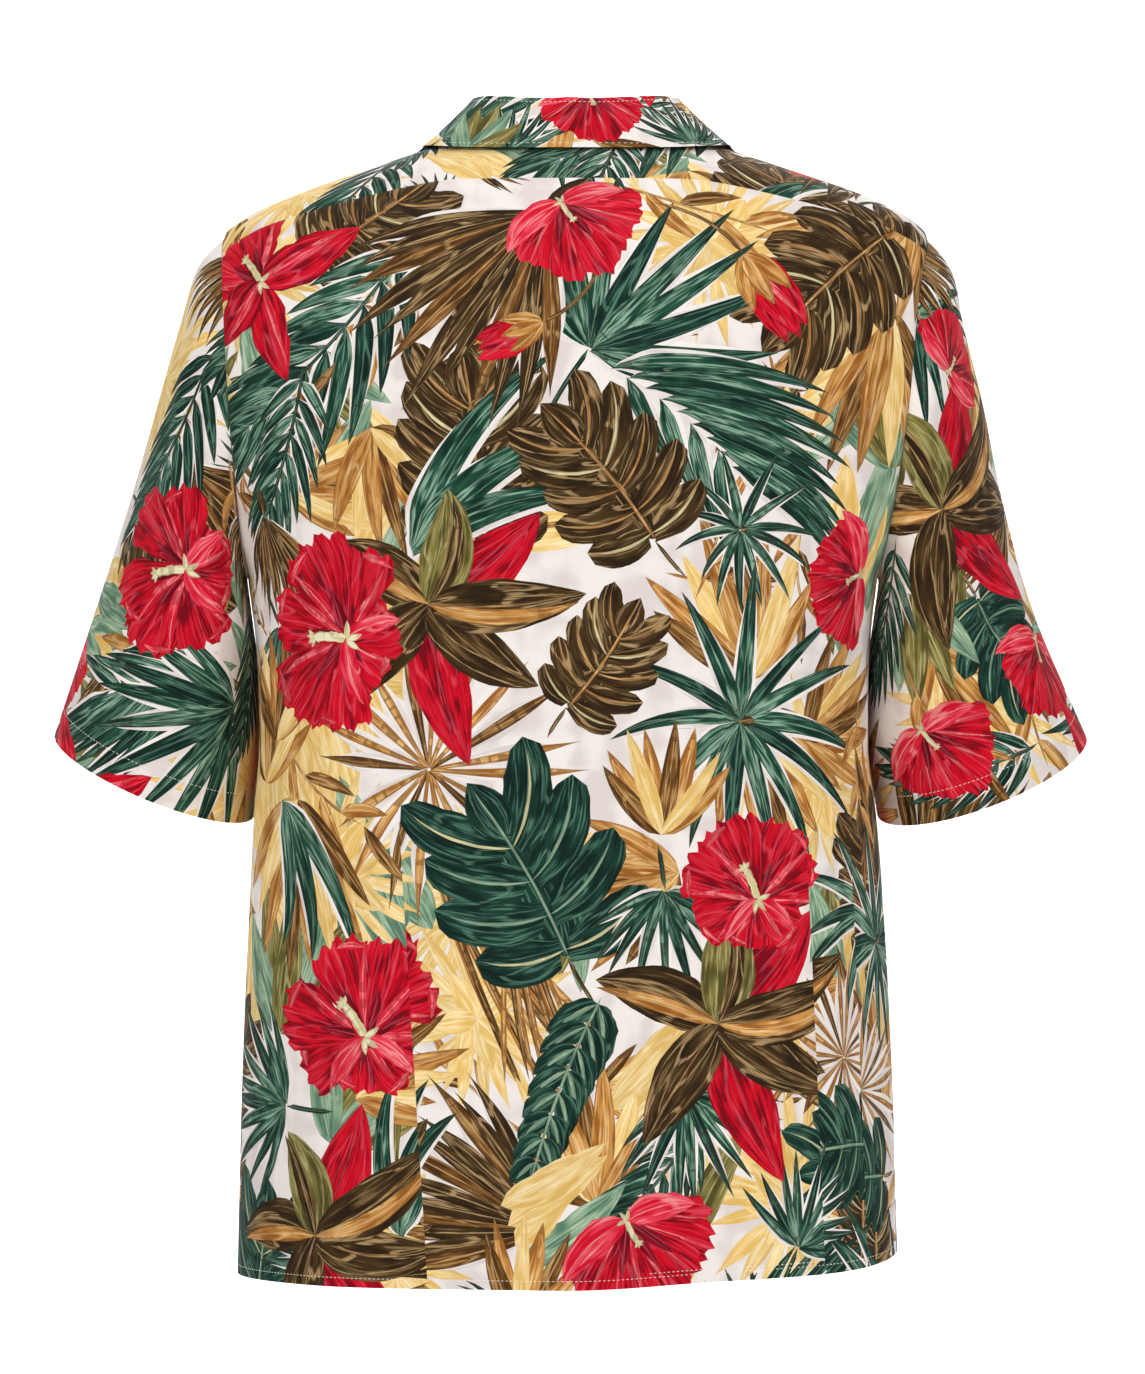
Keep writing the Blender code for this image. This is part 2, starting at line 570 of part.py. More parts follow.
def yoke_panel(sleeves):
    """Return the grids of the yoke, from neck to outer edge, left front round to right front."""
    step_turn = 2.0 * math.pi / ARMHOLE_STEPS
    low_z = armhole_heights()[-1]
    stations = []
    for side in (-1.0, 1.0):
        name = "left" if side < 0.0 else "right"
        neck_front = math.radians(YOKE_FRONT_TURN)
        neck_back = abs(armhole_angle(side, low_z, ARMHOLE_BACK))
        arm = []
        for step in range(-YOKE_STEPS, YOKE_STEPS + 1):
            share = (step + YOKE_STEPS) / (2.0 * YOKE_STEPS)
            place = sleeves[name].seam_point(step * step_turn)
            outer_angle = abs(math.atan2(place[0], -place[1]))
            neck_angle = neck_front + (neck_back - neck_front) * share
            arm.append((side * neck_angle, side * outer_angle, place[2], name, step * step_turn))
        stations.append(arm)
    back = []
    for share in np.linspace(-1.0, 1.0, BACK_COLUMNS + 1)[1:-1]:
        side = 1.0 if share >= 0.0 else -1.0
        angle = abs(share) * armhole_angle(side, low_z, ARMHOLE_BACK)
        z = YOKE_BACK_Z + (low_z - YOKE_BACK_Z) * yoke_seam_drop(share)
        back.append((angle, angle, z, None, None))
    spokes = stations[0] + back + stations[1][::-1]
    places = []
    for row in range(YOKE_ROWS + 1):
        share = row / YOKE_ROWS
        line = []
        for neck_angle, outer_angle, outer_z, _, _ in spokes:
            angle = neck_angle + (outer_angle - neck_angle) * share
            neck_z = neck_height(neck_angle)
            line.append((angle, neck_z + (outer_z - neck_z) * share))
        places.append(line)
    outer, inner = body_grid(places)
    inward = ways(outer[-1], outer[-2])
    outer[-1] = moved_in(outer[-1], inward)
    inner[-1] = moved_in(inner[-1], inward)
    for column, (_, _, _, name, turn) in enumerate(spokes):
        if name is not None:
            place, into_body, _, slant = sleeves[name].seam(turn)
            outer[-1, column] = place + into_body * (SEAM_GAP / 2.0)
            inner[-1, column] = outer[-1, column] - slant * WALL
    corner = 2 * YOKE_STEPS
    for column in (corner, len(spokes) - 1 - corner):
        inward = unit(outer[-2, column] - outer[-1, column])
        outer[-1, column] = moved_in(outer[-1, column], inward)
        inner[-1, column] = moved_in(inner[-1, column], inward)
    for edge, beside in ((0, 1), (-1, -2)):
        inward = ways(outer[:, edge], outer[:, beside])
        outer[:, edge] = moved_in(outer[:, edge], inward)
        inner[:, edge] = moved_in(inner[:, edge], inward)
    return outer, inner


def sleeve_tube(sleeve):
    """Return the grids of a sleeve, from armhole to hem and once round."""
    turns = [2.0 * math.pi * step / ARMHOLE_STEPS for step in range(ARMHOLE_STEPS)]
    outer, inner = [], []
    for row in range(SLEEVE_STEPS + 1):
        along = (row / SLEEVE_STEPS) ** SLEEVE_CROWDING
        outer_row, inner_row = [], []
        for turn in turns:
            if row == 0:
                place, _, into_sleeve, slant = sleeve.seam(turn)
                point = place + into_sleeve * (SEAM_GAP / 2.0)
                under = point - slant * WALL
            else:
                point = sleeve.point(along, turn)
                under = point - sleeve.normal(along, turn) * WALL
            outer_row.append(point)
            inner_row.append(under)
        outer.append(outer_row)
        inner.append(inner_row)
    return np.array(outer), np.array(inner)


# ----------------------------------------------------------------------------- the collar

def collar_line(angle):
    """Return the collar's middle line at one place: up the stand, over the roll, down the fall."""
    side = 1.0 if angle >= 0.0 else -1.0
    turn = abs(math.degrees(angle))
    row = {name: float(column(turn)) for name, column in collar.items()}
    neck_z = neck_height(angle)
    neck = body_point(angle, neck_z)
    tangent = body_point(angle + SEAM_TURN, neck_height(angle + SEAM_TURN)) - neck
    radial = np.array((math.sin(angle), -math.cos(angle), 0.0))
    upright = unit(np.cross(np.cross(tangent, np.array((0.0, 0.0, 1.0))), tangent))
    upright = upright if upright[2] > 0.0 else -upright
    rise = unit(upright * math.cos(COLLAR_LEAN) - radial * math.sin(COLLAR_LEAN))
    middle = neck - radial * (WALL / 2.0) + rise * COLLAR_SEAT
    top = middle + rise * row["stand"]
    edge_angle = side * math.radians(row["edge_turn"])
    lift = row["clear"]
    edge = body_point(edge_angle, row["edge_z"]) + body_normal(edge_angle, row["edge_z"]) * lift
    outward = unit(np.cross(rise, tangent))
    outward = outward if outward.dot(radial) > 0.0 else -outward
    line = [middle + (top - middle) * s for s in np.linspace(0.0, 1.0, COLLAR_STAND_STEPS + 1)[:-1]]
    for bend in np.linspace(0.0, math.pi, COLLAR_ROLL_STEPS + 1):
        line.append(top + outward * COLLAR_ROLL * (1.0 - math.cos(bend))
                    + rise * COLLAR_ROLL * math.sin(bend))
    start = line[-1]
    base = neck + body_normal(angle, neck_z) * lift
    for share in np.linspace(0.0, 1.0, COLLAR_FALL_STEPS + 1)[1:]:
        on_angle = angle + (edge_angle - angle) * share
        on_z = neck_z + (row["edge_z"] - neck_z) * share
        on_body = body_point(on_angle, on_z) + body_normal(on_angle, on_z) * lift
        line.append(on_body + (start - base) * (1.0 - share) ** COLLAR_SETTLE)
    return line


def collar_band():
    """Return the collar's outer and inner grids, a line across the band for each row."""
    yoke_end = math.radians(YOKE_FRONT_TURN)
    fronts = [min(turn, COLLAR_END) for turn in front_angles(yoke_end, NECK_FRONT_Z)]
    fronts = fronts[1:FRONT_COLUMNS + OVERLAP_COLUMNS // 2 + 1]
    turns = [-turn for turn in reversed(fronts)]
    turns += list(np.linspace(-yoke_end, yoke_end, COLLAR_YOKE_STEPS + 1)) + fronts
    middle = np.array([collar_line(turn) for turn in turns])
    normals = grid_normals(middle)
    return middle + normals * (WALL / 2.0), middle - normals * (WALL / 2.0)


# ----------------------------------------------------------------------------- the buttons

def button_mesh():
    """Return a four-hole button: a round disc with a raised rim and a dished middle."""
    profile = (
        (BUTTON_RADIUS, 0.0),
        (BUTTON_RADIUS, BUTTON_THICKNESS - BUTTON_DISH),
        (BUTTON_RADIUS - BUTTON_DISH, BUTTON_THICKNESS),
        (BUTTON_RADIUS - BUTTON_RIM, BUTTON_THICKNESS),
        (BUTTON_RADIUS - BUTTON_RIM - BUTTON_DISH, BUTTON_THICKNESS - BUTTON_DISH),
    )
    shape = bmesh.new()
    rings = []
    for radius, z in profile:
        ring = []
        for step in range(BUTTON_SIDES):
            turn = 2.0 * math.pi * step / BUTTON_SIDES
            ring.append(shape.verts.new((radius * math.cos(turn), radius * math.sin(turn), z)))
        rings.append(ring)
    shape.faces.new(rings[0])
    shape.faces.new(rings[-1])
    for step in range(BUTTON_SIDES):
        beside = (step + 1) % BUTTON_SIDES
        for below, above in zip(rings, rings[1:]):
            shape.faces.new((below[step], below[beside], above[beside], above[step]))
    bmesh.ops.recalc_face_normals(shape, faces=shape.faces)
    disc = bpy.data.meshes.new("button_disc")
    shape.to_mesh(disc)
    shape.free()
    return disc


def thread_hole_mesh():
    """Return four upright rods, where thread goes through a button."""
    shape = bmesh.new()
    for x in (-THREAD_HOLE_OFFSET, THREAD_HOLE_OFFSET):
        for y in (-THREAD_HOLE_OFFSET, THREAD_HOLE_OFFSET):
            place = Matrix.Translation((x, y, BUTTON_THICKNESS / 2.0))
            bmesh.ops.create_cone(shape, cap_ends=True, segments=THREAD_HOLE_SIDES,
                                  radius1=THREAD_HOLE_RADIUS, radius2=THREAD_HOLE_RADIUS,
                                  depth=3.0 * BUTTON_THICKNESS, matrix=place)
    rods = bpy.data.meshes.new("thread_holes")
    shape.to_mesh(rods)
    shape.free()
    return rods


def add_buttons():
    """Add the buttons down the centre front, square to the cloth under them."""
    for count in range(BUTTON_COUNT):
        z = BUTTON_TOP_Z - BUTTON_PITCH * count
        normal = Vector(body_normal(HALF_TURN, z))
        seat = Vector(body_point(HALF_TURN, z)) + normal * BUTTON_SEAT
        turn = normal.to_track_quat("Z", "Y").to_matrix().to_4x4()
        place = Matrix.Translation(seat) @ turn
        name = "button_%d" % (count + 1)
        button = add_piece(name, button_mesh(), (0.62, 0.47, 0.30), 0.35)
        button.matrix_world = place
        cutter = bpy.data.objects.new(name + "_holes", thread_hole_mesh())
        bpy.context.scene.collection.objects.link(cutter)
        cutter.matrix_world = place
        cutter.hide_render = True
        cutter.display_type = "WIRE"
        holes = button.modifiers.new("thread_holes", "BOOLEAN")
        holes.object = cutter
        holes.operation = "DIFFERENCE"
        holes.solver = "EXACT"


# ----------------------------------------------------------------------------- the whole shirt

def build():
    """Build every piece of the shirt."""
    for leftover in list(bpy.data.objects):
        bpy.data.objects.remove(leftover, do_unlink=True)
    sleeves = {"left": Sleeve(-1.0, LEFT_SLEEVE), "right": Sleeve(1.0, RIGHT_SLEEVE)}
    cloth = (0.72, 0.62, 0.48)
    add_piece("back_panel", wall_mesh("back_panel", *back_panel(sleeves), False), cloth)
    add_piece("yoke", wall_mesh("yoke", *yoke_panel(sleeves), False), cloth)
    for name, side in (("left", -1.0), ("right", 1.0)):
        front = front_panel(side, sleeves[name])
        add_piece(name + "_front", wall_mesh(name + "_front", *front, False), cloth)
        tube = sleeve_tube(sleeves[name])
        add_piece(name + "_sleeve", wall_mesh(name + "_sleeve", *tube, True), cloth)
    add_piece("collar", wall_mesh("collar", *collar_band(), False), cloth)
    add_buttons()


build()
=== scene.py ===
"""The looks of an aloha shirt: printed cloth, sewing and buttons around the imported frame.

Metres, +Z up, +Y the way the wearer faces, +X the wearer's right. The print and the flat cut
pieces are worked out in millimetres on the flat cloth. A piece of cloth is a fine sheet on its
solid's form. Its triangles follow the edges of the printed leaves and flowers, and each corner
knows its place on the brush stroke that it belongs to.
"""

import logging
import math
from dataclasses import dataclass, field, replace
from enum import Enum
from typing import Callable, Iterable, NamedTuple, Sequence

import bpy
import numpy as np
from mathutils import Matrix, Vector
from mathutils.bvhtree import BVHTree
from mathutils.geometry import delaunay_2d_cdt


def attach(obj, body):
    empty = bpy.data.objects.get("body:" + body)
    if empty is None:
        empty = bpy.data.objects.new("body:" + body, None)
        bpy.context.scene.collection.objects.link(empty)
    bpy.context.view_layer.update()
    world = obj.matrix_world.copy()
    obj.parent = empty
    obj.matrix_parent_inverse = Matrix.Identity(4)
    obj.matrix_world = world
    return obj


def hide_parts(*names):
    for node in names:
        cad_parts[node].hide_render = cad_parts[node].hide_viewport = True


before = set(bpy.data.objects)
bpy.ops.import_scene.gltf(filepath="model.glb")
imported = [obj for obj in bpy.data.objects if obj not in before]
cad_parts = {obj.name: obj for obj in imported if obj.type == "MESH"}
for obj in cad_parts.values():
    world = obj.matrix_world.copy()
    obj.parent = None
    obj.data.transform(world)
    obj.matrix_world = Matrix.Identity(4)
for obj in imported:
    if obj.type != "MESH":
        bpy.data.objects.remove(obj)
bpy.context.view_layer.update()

log = logging.getLogger("aloha_shirt")

Array = np.ndarray
QUARTER = math.pi / 2.0
TURN = 2.0 * math.pi
MM = 0.001
UP = np.array((0.0, 0.0, 1.0))
YOKE_STEP = TURN / 28.0  # the yoke reaches two such steps of the armhole's turn to each side


def table(kind: Callable, *rows: Sequence[float]) -> tuple:
    """Return rows of one kind from the rows' numbers."""
    return tuple(kind(*row) for row in rows)


# ---- the form

class Section(NamedTuple):
    """A level section of the body: reach to each side, back and front, and its squareness."""

    z: float
    left: float
    right: float
    back: float
    front: float
    power: float


BODY = table(
    Section,
    (-0.745, 0.2215, 0.2175, 0.128, 0.136, 2.30),
    (-0.605, 0.2180, 0.2120, 0.131, 0.140, 2.30),
    (-0.480, 0.2125, 0.2060, 0.134, 0.143, 2.30),
    (-0.440, 0.2105, 0.2025, 0.135, 0.144, 2.30),
    (-0.395, 0.2072, 0.1972, 0.135, 0.144, 2.30),
    (-0.330, 0.2090, 0.1985, 0.136, 0.144, 2.30),
    (-0.285, 0.2145, 0.2035, 0.136, 0.142, 2.30),
    (-0.230, 0.2190, 0.2125, 0.136, 0.136, 2.30),
    (-0.172, 0.2235, 0.2205, 0.134, 0.121, 2.30),
    (-0.115, 0.2275, 0.2265, 0.128, 0.092, 2.30),
    (-0.080, 0.2300, 0.2320, 0.119, 0.073, 2.25),
    (-0.059, 0.2310, 0.2370, 0.111, 0.063, 2.20),
    (-0.045, 0.2150, 0.2230, 0.103, 0.059, 2.15),
    (-0.030, 0.1820, 0.1930, 0.093, 0.055, 2.10),
    (-0.015, 0.1400, 0.1495, 0.082, 0.051, 2.05),
    (-0.004, 0.1080, 0.1165, 0.071, 0.048, 2.00),
    (0.008, 0.0720, 0.0790, 0.060, 0.044, 2.00),
    (0.014, 0.0560, 0.0630, 0.055, 0.042, 2.00),
)


class HangingFold(NamedTuple):
    """A soft fold down the body, deepening towards the hem; turns are in half turns."""

    turn_low: float
    turn_high: float
    z_high: float
    width: float
    depth: float


BODY_FOLDS = table(
    HangingFold,
    (-0.31, -0.26, -0.300, 0.030, 0.0035),
    (-0.17, -0.20, -0.360, 0.034, -0.0030),
    (0.03, 0.01, -0.420, 0.038, 0.0025),
    (0.19, 0.22, -0.330, 0.030, -0.0035),
    (0.33, 0.30, -0.280, 0.034, 0.0035),
    (0.60, 0.62, -0.330, 0.034, -0.0040),
    (0.74, 0.70, -0.260, 0.036, 0.0045),
    (-0.63, -0.60, -0.300, 0.034, 0.0040),
    (-0.76, -0.72, -0.260, 0.036, -0.0040),
)


class Ring(NamedTuple):
    """A slanting ring of a sleeve: outermost and innermost points, reaches, and its set."""

    outer_x: float
    outer_z: float
    inner_x: float
    inner_z: float
    back: float
    front: float
    forward: float
    drop: float


LEFT_SLEEVE = table(
    Ring,
    (0.2310, -0.0590, 0.2145, -0.2850, 0.078, 0.070, 0.000, 0.000),
    (0.2475, -0.0775, 0.2158, -0.2880, 0.079, 0.071, 0.000, 0.000),
    (0.2598, -0.1160, 0.2147, -0.2960, 0.080, 0.072, 0.002, 0.002),
    (0.2755, -0.1690, 0.2122, -0.3160, 0.079, 0.073, 0.009, 0.005),
    (0.2940, -0.2300, 0.2087, -0.3480, 0.077, 0.074, 0.020, 0.010),
    (0.3190, -0.3060, 0.2068, -0.3880, 0.075, 0.074, 0.031, 0.014),
    (0.3468, -0.3886, 0.2128, -0.4435, 0.073, 0.074, 0.038, 0.0155),
)
RIGHT_SLEEVE = table(
    Ring,
    (0.2370, -0.0590, 0.2035, -0.2850, 0.078, 0.070, 0.000, 0.000),
    (0.2534, -0.0818, 0.2048, -0.2880, 0.079, 0.071, 0.000, 0.000),
    (0.2608, -0.1160, 0.2039, -0.2960, 0.080, 0.072, 0.002, 0.002),
    (0.2745, -0.1690, 0.2013, -0.3160, 0.079, 0.073, 0.009, 0.005),
    (0.2878, -0.2300, 0.1979, -0.3480, 0.077, 0.074, 0.020, 0.010),
    (0.3098, -0.3060, 0.1970, -0.3880, 0.075, 0.074, 0.031, 0.014),
    (0.3463, -0.3907, 0.2054, -0.4425, 0.073, 0.074, 0.038, 0.0195),
)


class SleeveFold(NamedTuple):
    """A soft fold along a sleeve: place on the ring and along it, length, width and depth."""

    turn: float
    along: float
    half_length: float
    width: float
    depth: float


SLEEVE_GIRTH = 0.45
SLEEVE_FOLDS = table(
    SleeveFold,
    (0.20, 0.45, 0.30, 0.016, -0.0030),
    (0.33, 0.75, 0.28, 0.018, 0.0030),
    (0.66, 0.55, 0.30, 0.018, -0.0035),
    (0.80, 0.80, 0.25, 0.018, 0.0030),
)


class CollarRow(NamedTuple):
    """The collar at one turn round the neck: stand height, where its edge lies, and its rise."""

    turn: float
    stand: float
    edge_turn: float
    edge_z: float
    clear: float


COLLAR = table(
    CollarRow,
    (0.0, 0.0308, 0.0, -0.0075, 0.0028),
    (45.0, 0.0270, 45.0, -0.0065, 0.0028),
    (90.0, 0.0222, 90.0, -0.0005, 0.0024),
    (120.0, 0.0210, 113.0, -0.0250, 0.0024),
    (150.0, 0.0150, 138.0, -0.0660, 0.0024),
    (180.0, 0.0090, 160.5, -0.1180, 0.0024),
)


def smooth_column(rows: Sequence, column: str, key: str | None = None) -> Callable:
    """Return a smooth function through one column of a table.

    Args:
        rows: the table.
        column: the column that is wanted.
        key: the column that it depends on, or None for the share of the rows passed.

    Returns:
        A function of an array of places.
    """
    values = np.array([getattr(row, column) for row in rows])
    keys = np.linspace(0.0, 1.0, len(rows))
    if key is not None:
        keys = np.array([getattr(row, key) for row in rows])
    chords = np.diff(values) / np.diff(keys)
    slopes = np.concatenate(([chords[0]], (chords[1:] + chords[:-1]) / 2.0, [chords[-1]]))
    slopes[1:-1][chords[1:] * chords[:-1] <= 0.0] = 0.0

    def value(at: Array) -> Array:
        """Return the column's value at each place."""
        at = np.clip(at, keys[0], keys[-1])
        i = np.clip(np.searchsorted(keys, at) - 1, 0, len(keys) - 2)
        width = keys[i + 1] - keys[i]
        s = (at - keys[i]) / width
        return ((1 + 2 * s) * (1 - s) ** 2 * values[i] + s * (1 - s) ** 2 * width * slopes[i]
                + s * s * (3 - 2 * s) * values[i + 1] - s * s * (1 - s) * width * slopes[i + 1])

    return value


def smooth_step(x: Array) -> Array:
    """Return 0 below 0, 1 above 1 and a soft ramp between."""
    x = np.clip(x, 0.0, 1.0)
    return x * x * (3.0 - 2.0 * x)


def unit(vectors: Array) -> Array:
    """Return vectors scaled to length one."""
    return vectors / np.maximum(np.linalg.norm(vectors, axis=-1, keepdims=True), 1e-12)


def cross(u: Array, v: Array) -> Array:
    """Return the cross products of flat vectors."""
    return u[..., 0] * v[..., 1] - u[..., 1] * v[..., 0]


def run_along(points: Array, axis: int = 0) -> Array:
    """Return the length run at each point of lines along an axis, from 0 at the first."""
    steps = np.linalg.norm(np.diff(points, axis=axis), axis=-1)
    start = np.zeros_like(np.take(steps, [0], axis=axis))
    return np.concatenate((start, np.cumsum(steps, axis=axis)), axis=axis)


def on_line(line: Array, runs: Array, at: Array) -> Array:
    """Return points of a flat line, where its own points have the given runs."""
    return np.stack([np.interp(at, runs, line[:, k]) for k in (0, 1)], -1)


def grid_cells(rows: int, columns: int, splits: Sequence[str] = ("abc", "acd")) -> Array:
    """Return a grid's triangles, two for each cell, or others by the names of their corners."""
    index = np.arange(rows * columns).reshape(rows, columns)
    corner = {"a": index[:-1, :-1], "b": index[:-1, 1:], "c": index[1:, 1:], "d": index[1:, :-1]}
    return np.concatenate([np.stack([corner[name] for name in split], -1).reshape(-1, 3)
                           for split in splits])


def without_unused(points: Array, index: Array) -> tuple[Array, Array]:
    """Return the points that an index names, and the index to them alone."""
    kept = np.unique(index)
    renumber = np.full(len(points), -1)
    renumber[kept] = np.arange(len(kept))
    return points[kept], renumber[index]


def new_piece(name: str, points: Array, faces: Sequence[Sequence[int]]) -> bpy.types.Object:
    """Make a smooth object of points and faces."""
    mesh = bpy.data.meshes.new(name)
    mesh.from_pydata(points, [], faces)
    mesh.shade_smooth()
    piece = bpy.data.objects.new(name, mesh)
    bpy.context.scene.collection.objects.link(piece)
    return piece


@dataclass
class BodyForm:
    """The surface of the body, which back, fronts and yoke are regions of."""

    armhole_top: float = -0.059
    armhole_low: float = -0.285
    armhole_back: float = 0.078
    armhole_front: float = 0.070
    hem_lift: float = 0.009
    hem_corner: float = 0.006
    neck_back_z: float = -0.003
    neck_side_z: float = 0.008
    neck_front_z: float = -0.066
    neck_scoop: float = 1.3
    yoke_back_z: float = -0.026
    yoke_flat: float = 0.50
    yoke_front_turn: float = math.radians(105.0)
    arc_table: tuple = field(init=False)

    def __post_init__(self) -> None:
        """Read the section table, and measure round each level section once."""
        self.column = {name: smooth_column(BODY, name, "z") for name in Section._fields[1:]}
        levels = np.linspace(BODY[0].z, BODY[-1].z, 180)
        angles = np.linspace(-1.2 * math.pi, 1.2 * math.pi, 865)
        lengths = run_along(self.point(angles[None, :], levels[:, None]), axis=1)
        self.arc_table = (levels, angles, lengths - lengths[:, [len(angles) // 2]])

    def reach(self, z: Array, most: Array) -> Array:
        """Return how far the armhole reaches behind or before the shoulder's ridge."""
        middle, half = self.armhole()
        return most * np.sqrt(np.maximum(0.0, 1.0 - ((z - middle) / half) ** 2))

    def armhole(self) -> tuple[float, float]:
        """Return the height of an armhole's middle, and half its own height."""
        return (self.armhole_top + self.armhole_low) / 2.0, (self.armhole_top - self.armhole_low) / 2.0

    def point(self, angle: Array, z: Array) -> Array:
        """Return points of the surface.

        Args:
            angle: turn round the body, 0 at the centre back, a quarter at the right side.
            z: height.

        Returns:
            Points, with x, y and z on the last axis.
        """
        angle, z = np.broadcast_arrays(np.asarray(angle, float), np.asarray(z, float))
        sine, cosine = np.sin(angle), np.cos(angle)
        edge = np.where(sine >= 0.0, self.column["right"](z), self.column["left"](z))
        depth = np.where(cosine >= 0.0, self.column["back"](z), self.column["front"](z))
        power = self.column["power"](z)
        reach = self.reach(z, np.where(cosine >= 0.0, self.armhole_back, self.armhole_front))
        width = edge / (1.0 - (reach / depth) ** power) ** (1.0 / power)
        radius = (np.abs(sine / width) ** power + np.abs(cosine / depth) ** power) ** (-1.0 / power)
        hem = BODY[0].z
        rise = 0.0
        for fold in BODY_FOLDS:
            down = smooth_step((fold.z_high - z) / (fold.z_high - hem))
            centre = math.pi * (fold.turn_high + (fold.turn_low - fold.turn_high) * down)
            across = (angle - centre + math.pi) % TURN - math.pi
            rise = rise + fold.depth * down * np.exp(-(across * radius / fold.width) ** 2)
        radius = radius + rise
        return np.stack((radius * sine, -radius * cosine, z), axis=-1)

    def normal(self, angle: Array, z: Array) -> Array:
        """Return the directions straight out of the surface."""
        around = self.point(angle + 0.0027, z) - self.point(angle - 0.0027, z)
        up = self.point(angle, z + 0.0004) - self.point(angle, z - 0.0004)
        return unit(np.cross(around, up))

    def armhole_angle(self, side: float, z: Array, front: bool) -> Array:
        """Return the turn of an armhole's seam at a height, on its back or front part."""
        edge = self.column["right" if side > 0 else "left"](z)
        if front:
            return side * (QUARTER + np.arctan2(self.reach(z, self.armhole_front), edge))
        return side * (QUARTER - np.arctan2(self.reach(z, self.armhole_back), edge))

    def hem(self, angle: Array) -> Array:
        """Return the hem's height round the body."""
        right = np.maximum(np.sin(angle), 0.0)
        return BODY[0].z + self.hem_lift * right ** 1.5 + self.hem_corner * right ** 30

    def neck(self, angle: Array) -> Array:
        """Return the neckline's height round the body."""
        cosine, sine = np.cos(angle), np.sin(angle)
        back = self.neck_back_z + (self.neck_side_z - self.neck_back_z) * sine ** 2
        drop = (cosine ** 2) ** self.neck_scoop
        front = self.neck_side_z + (self.neck_front_z - self.neck_side_z) * drop
        return np.where(cosine >= 0.0, back, front)

    def yoke_drop(self, share: Array) -> Array:
        """Return how far the yoke's back seam has fallen at a share of the half back."""
        past = np.maximum(np.abs(share) - self.yoke_flat, 0.0)
        return (past / (1.0 - self.yoke_flat)) ** 2

    def arc(self, angle: Array, z: Array) -> Array:
        """Return the length round the body from the centre back, at a height."""
        levels, angles, lengths = self.arc_table
        row = np.clip((z - levels[0]) / (levels[1] - levels[0]), 0, len(levels) - 1.001)
        column = np.clip((angle - angles[0]) / (angles[1] - angles[0]), 0, len(angles) - 1.001)
        r, c = row.astype(int), column.astype(int)
        fr, fc = row - r, column - c
        low = lengths[r, c] * (1 - fc) + lengths[r, c + 1] * fc
        high = lengths[r + 1, c] * (1 - fc) + lengths[r + 1, c + 1] * fc
        return low * (1 - fr) + high * fr

    def rise(self, z: Array, anchor: float) -> Array:
        """Return the length up the surface along one turn, equal to z at the middle."""
        levels = np.linspace(BODY[0].z, BODY[-1].z, 400)
        lengths = run_along(self.point(np.full_like(levels, anchor), levels))
        lengths += -0.3 - np.interp(-0.3, levels, lengths)
        return np.interp(z, levels, lengths)


@dataclass
class SleeveForm:
    """The surface of one sleeve, which starts on its armhole."""

    body: BodyForm
    side: float
    rings: Sequence[Ring]

    def __post_init__(self) -> None:
        """Read the ring table."""
        self.column = {name: smooth_column(self.rings, name) for name in Ring._fields}

    def seam(self, turn: Array) -> Array:
        """Return points of the armhole's seam."""
        middle, half = self.body.armhole()
        z = middle + half * np.cos(turn)
        back = self.body.armhole_angle(self.side, z, front=False)
        front = self.body.armhole_angle(self.side, z, front=True)
        return self.body.point(np.where(np.sin(turn) >= 0.0, back, front), z)

    def ring(self, along: Array, turn: Array) -> Array:
        """Return points of the plain rings."""
        row = {name: column(along) for name, column in self.column.items()}
        sine, cosine = np.sin(turn), np.cos(turn)
        reach = np.where(sine >= 0.0, row["back"], row["front"])
        x = (row["outer_x"] + row["inner_x"] + (row["outer_x"] - row["inner_x"]) * cosine) / 2.0
        z = (row["outer_z"] + row["inner_z"] + (row["outer_z"] - row["inner_z"]) * cosine) / 2.0
        return np.stack((self.side * x, row["forward"] - reach * sine, z - row["drop"] * sine), -1)

    def point(self, along: Array, turn: Array) -> Array:
        """Return points of the surface.

        Args:
            along: share of the sleeve's length, 0 at the armhole.
            turn: turn round it, 0 on top, a quarter at the back.

        Returns:
            Points, with x, y and z on the last axis.
        """
        along, turn = np.broadcast_arrays(np.asarray(along, float), np.asarray(turn, float))
        ease = (1.0 - smooth_step(along / 0.35))[..., None]
        place = self.ring(along, turn) + ease * (self.seam(turn) - self.ring(np.zeros_like(along), turn))
        top, bottom = (self.ring(along, np.full_like(turn, half)) for half in (0.0, math.pi))
        outward = unit(place - (top + bottom) / 2.0)
        for fold in SLEEVE_FOLDS:
            across = (turn / TURN - fold.turn + 0.5) % 1.0 - 0.5
            fade = smooth_step(1.0 - np.abs(along - fold.along) / fold.half_length)
            rise = fold.depth * fade * np.exp(-(across * SLEEVE_GIRTH / fold.width) ** 2)
            place = place + outward * rise[..., None]
        return place


# ---- the print

class Profile(Enum):
    """How wide a brush stroke is along its length."""

    LEAF = "leaf"
    BLADE = "blade"
    FINGER = "finger"
    PETAL = "petal"
    LOBE = "lobe"
    STEM = "stem"


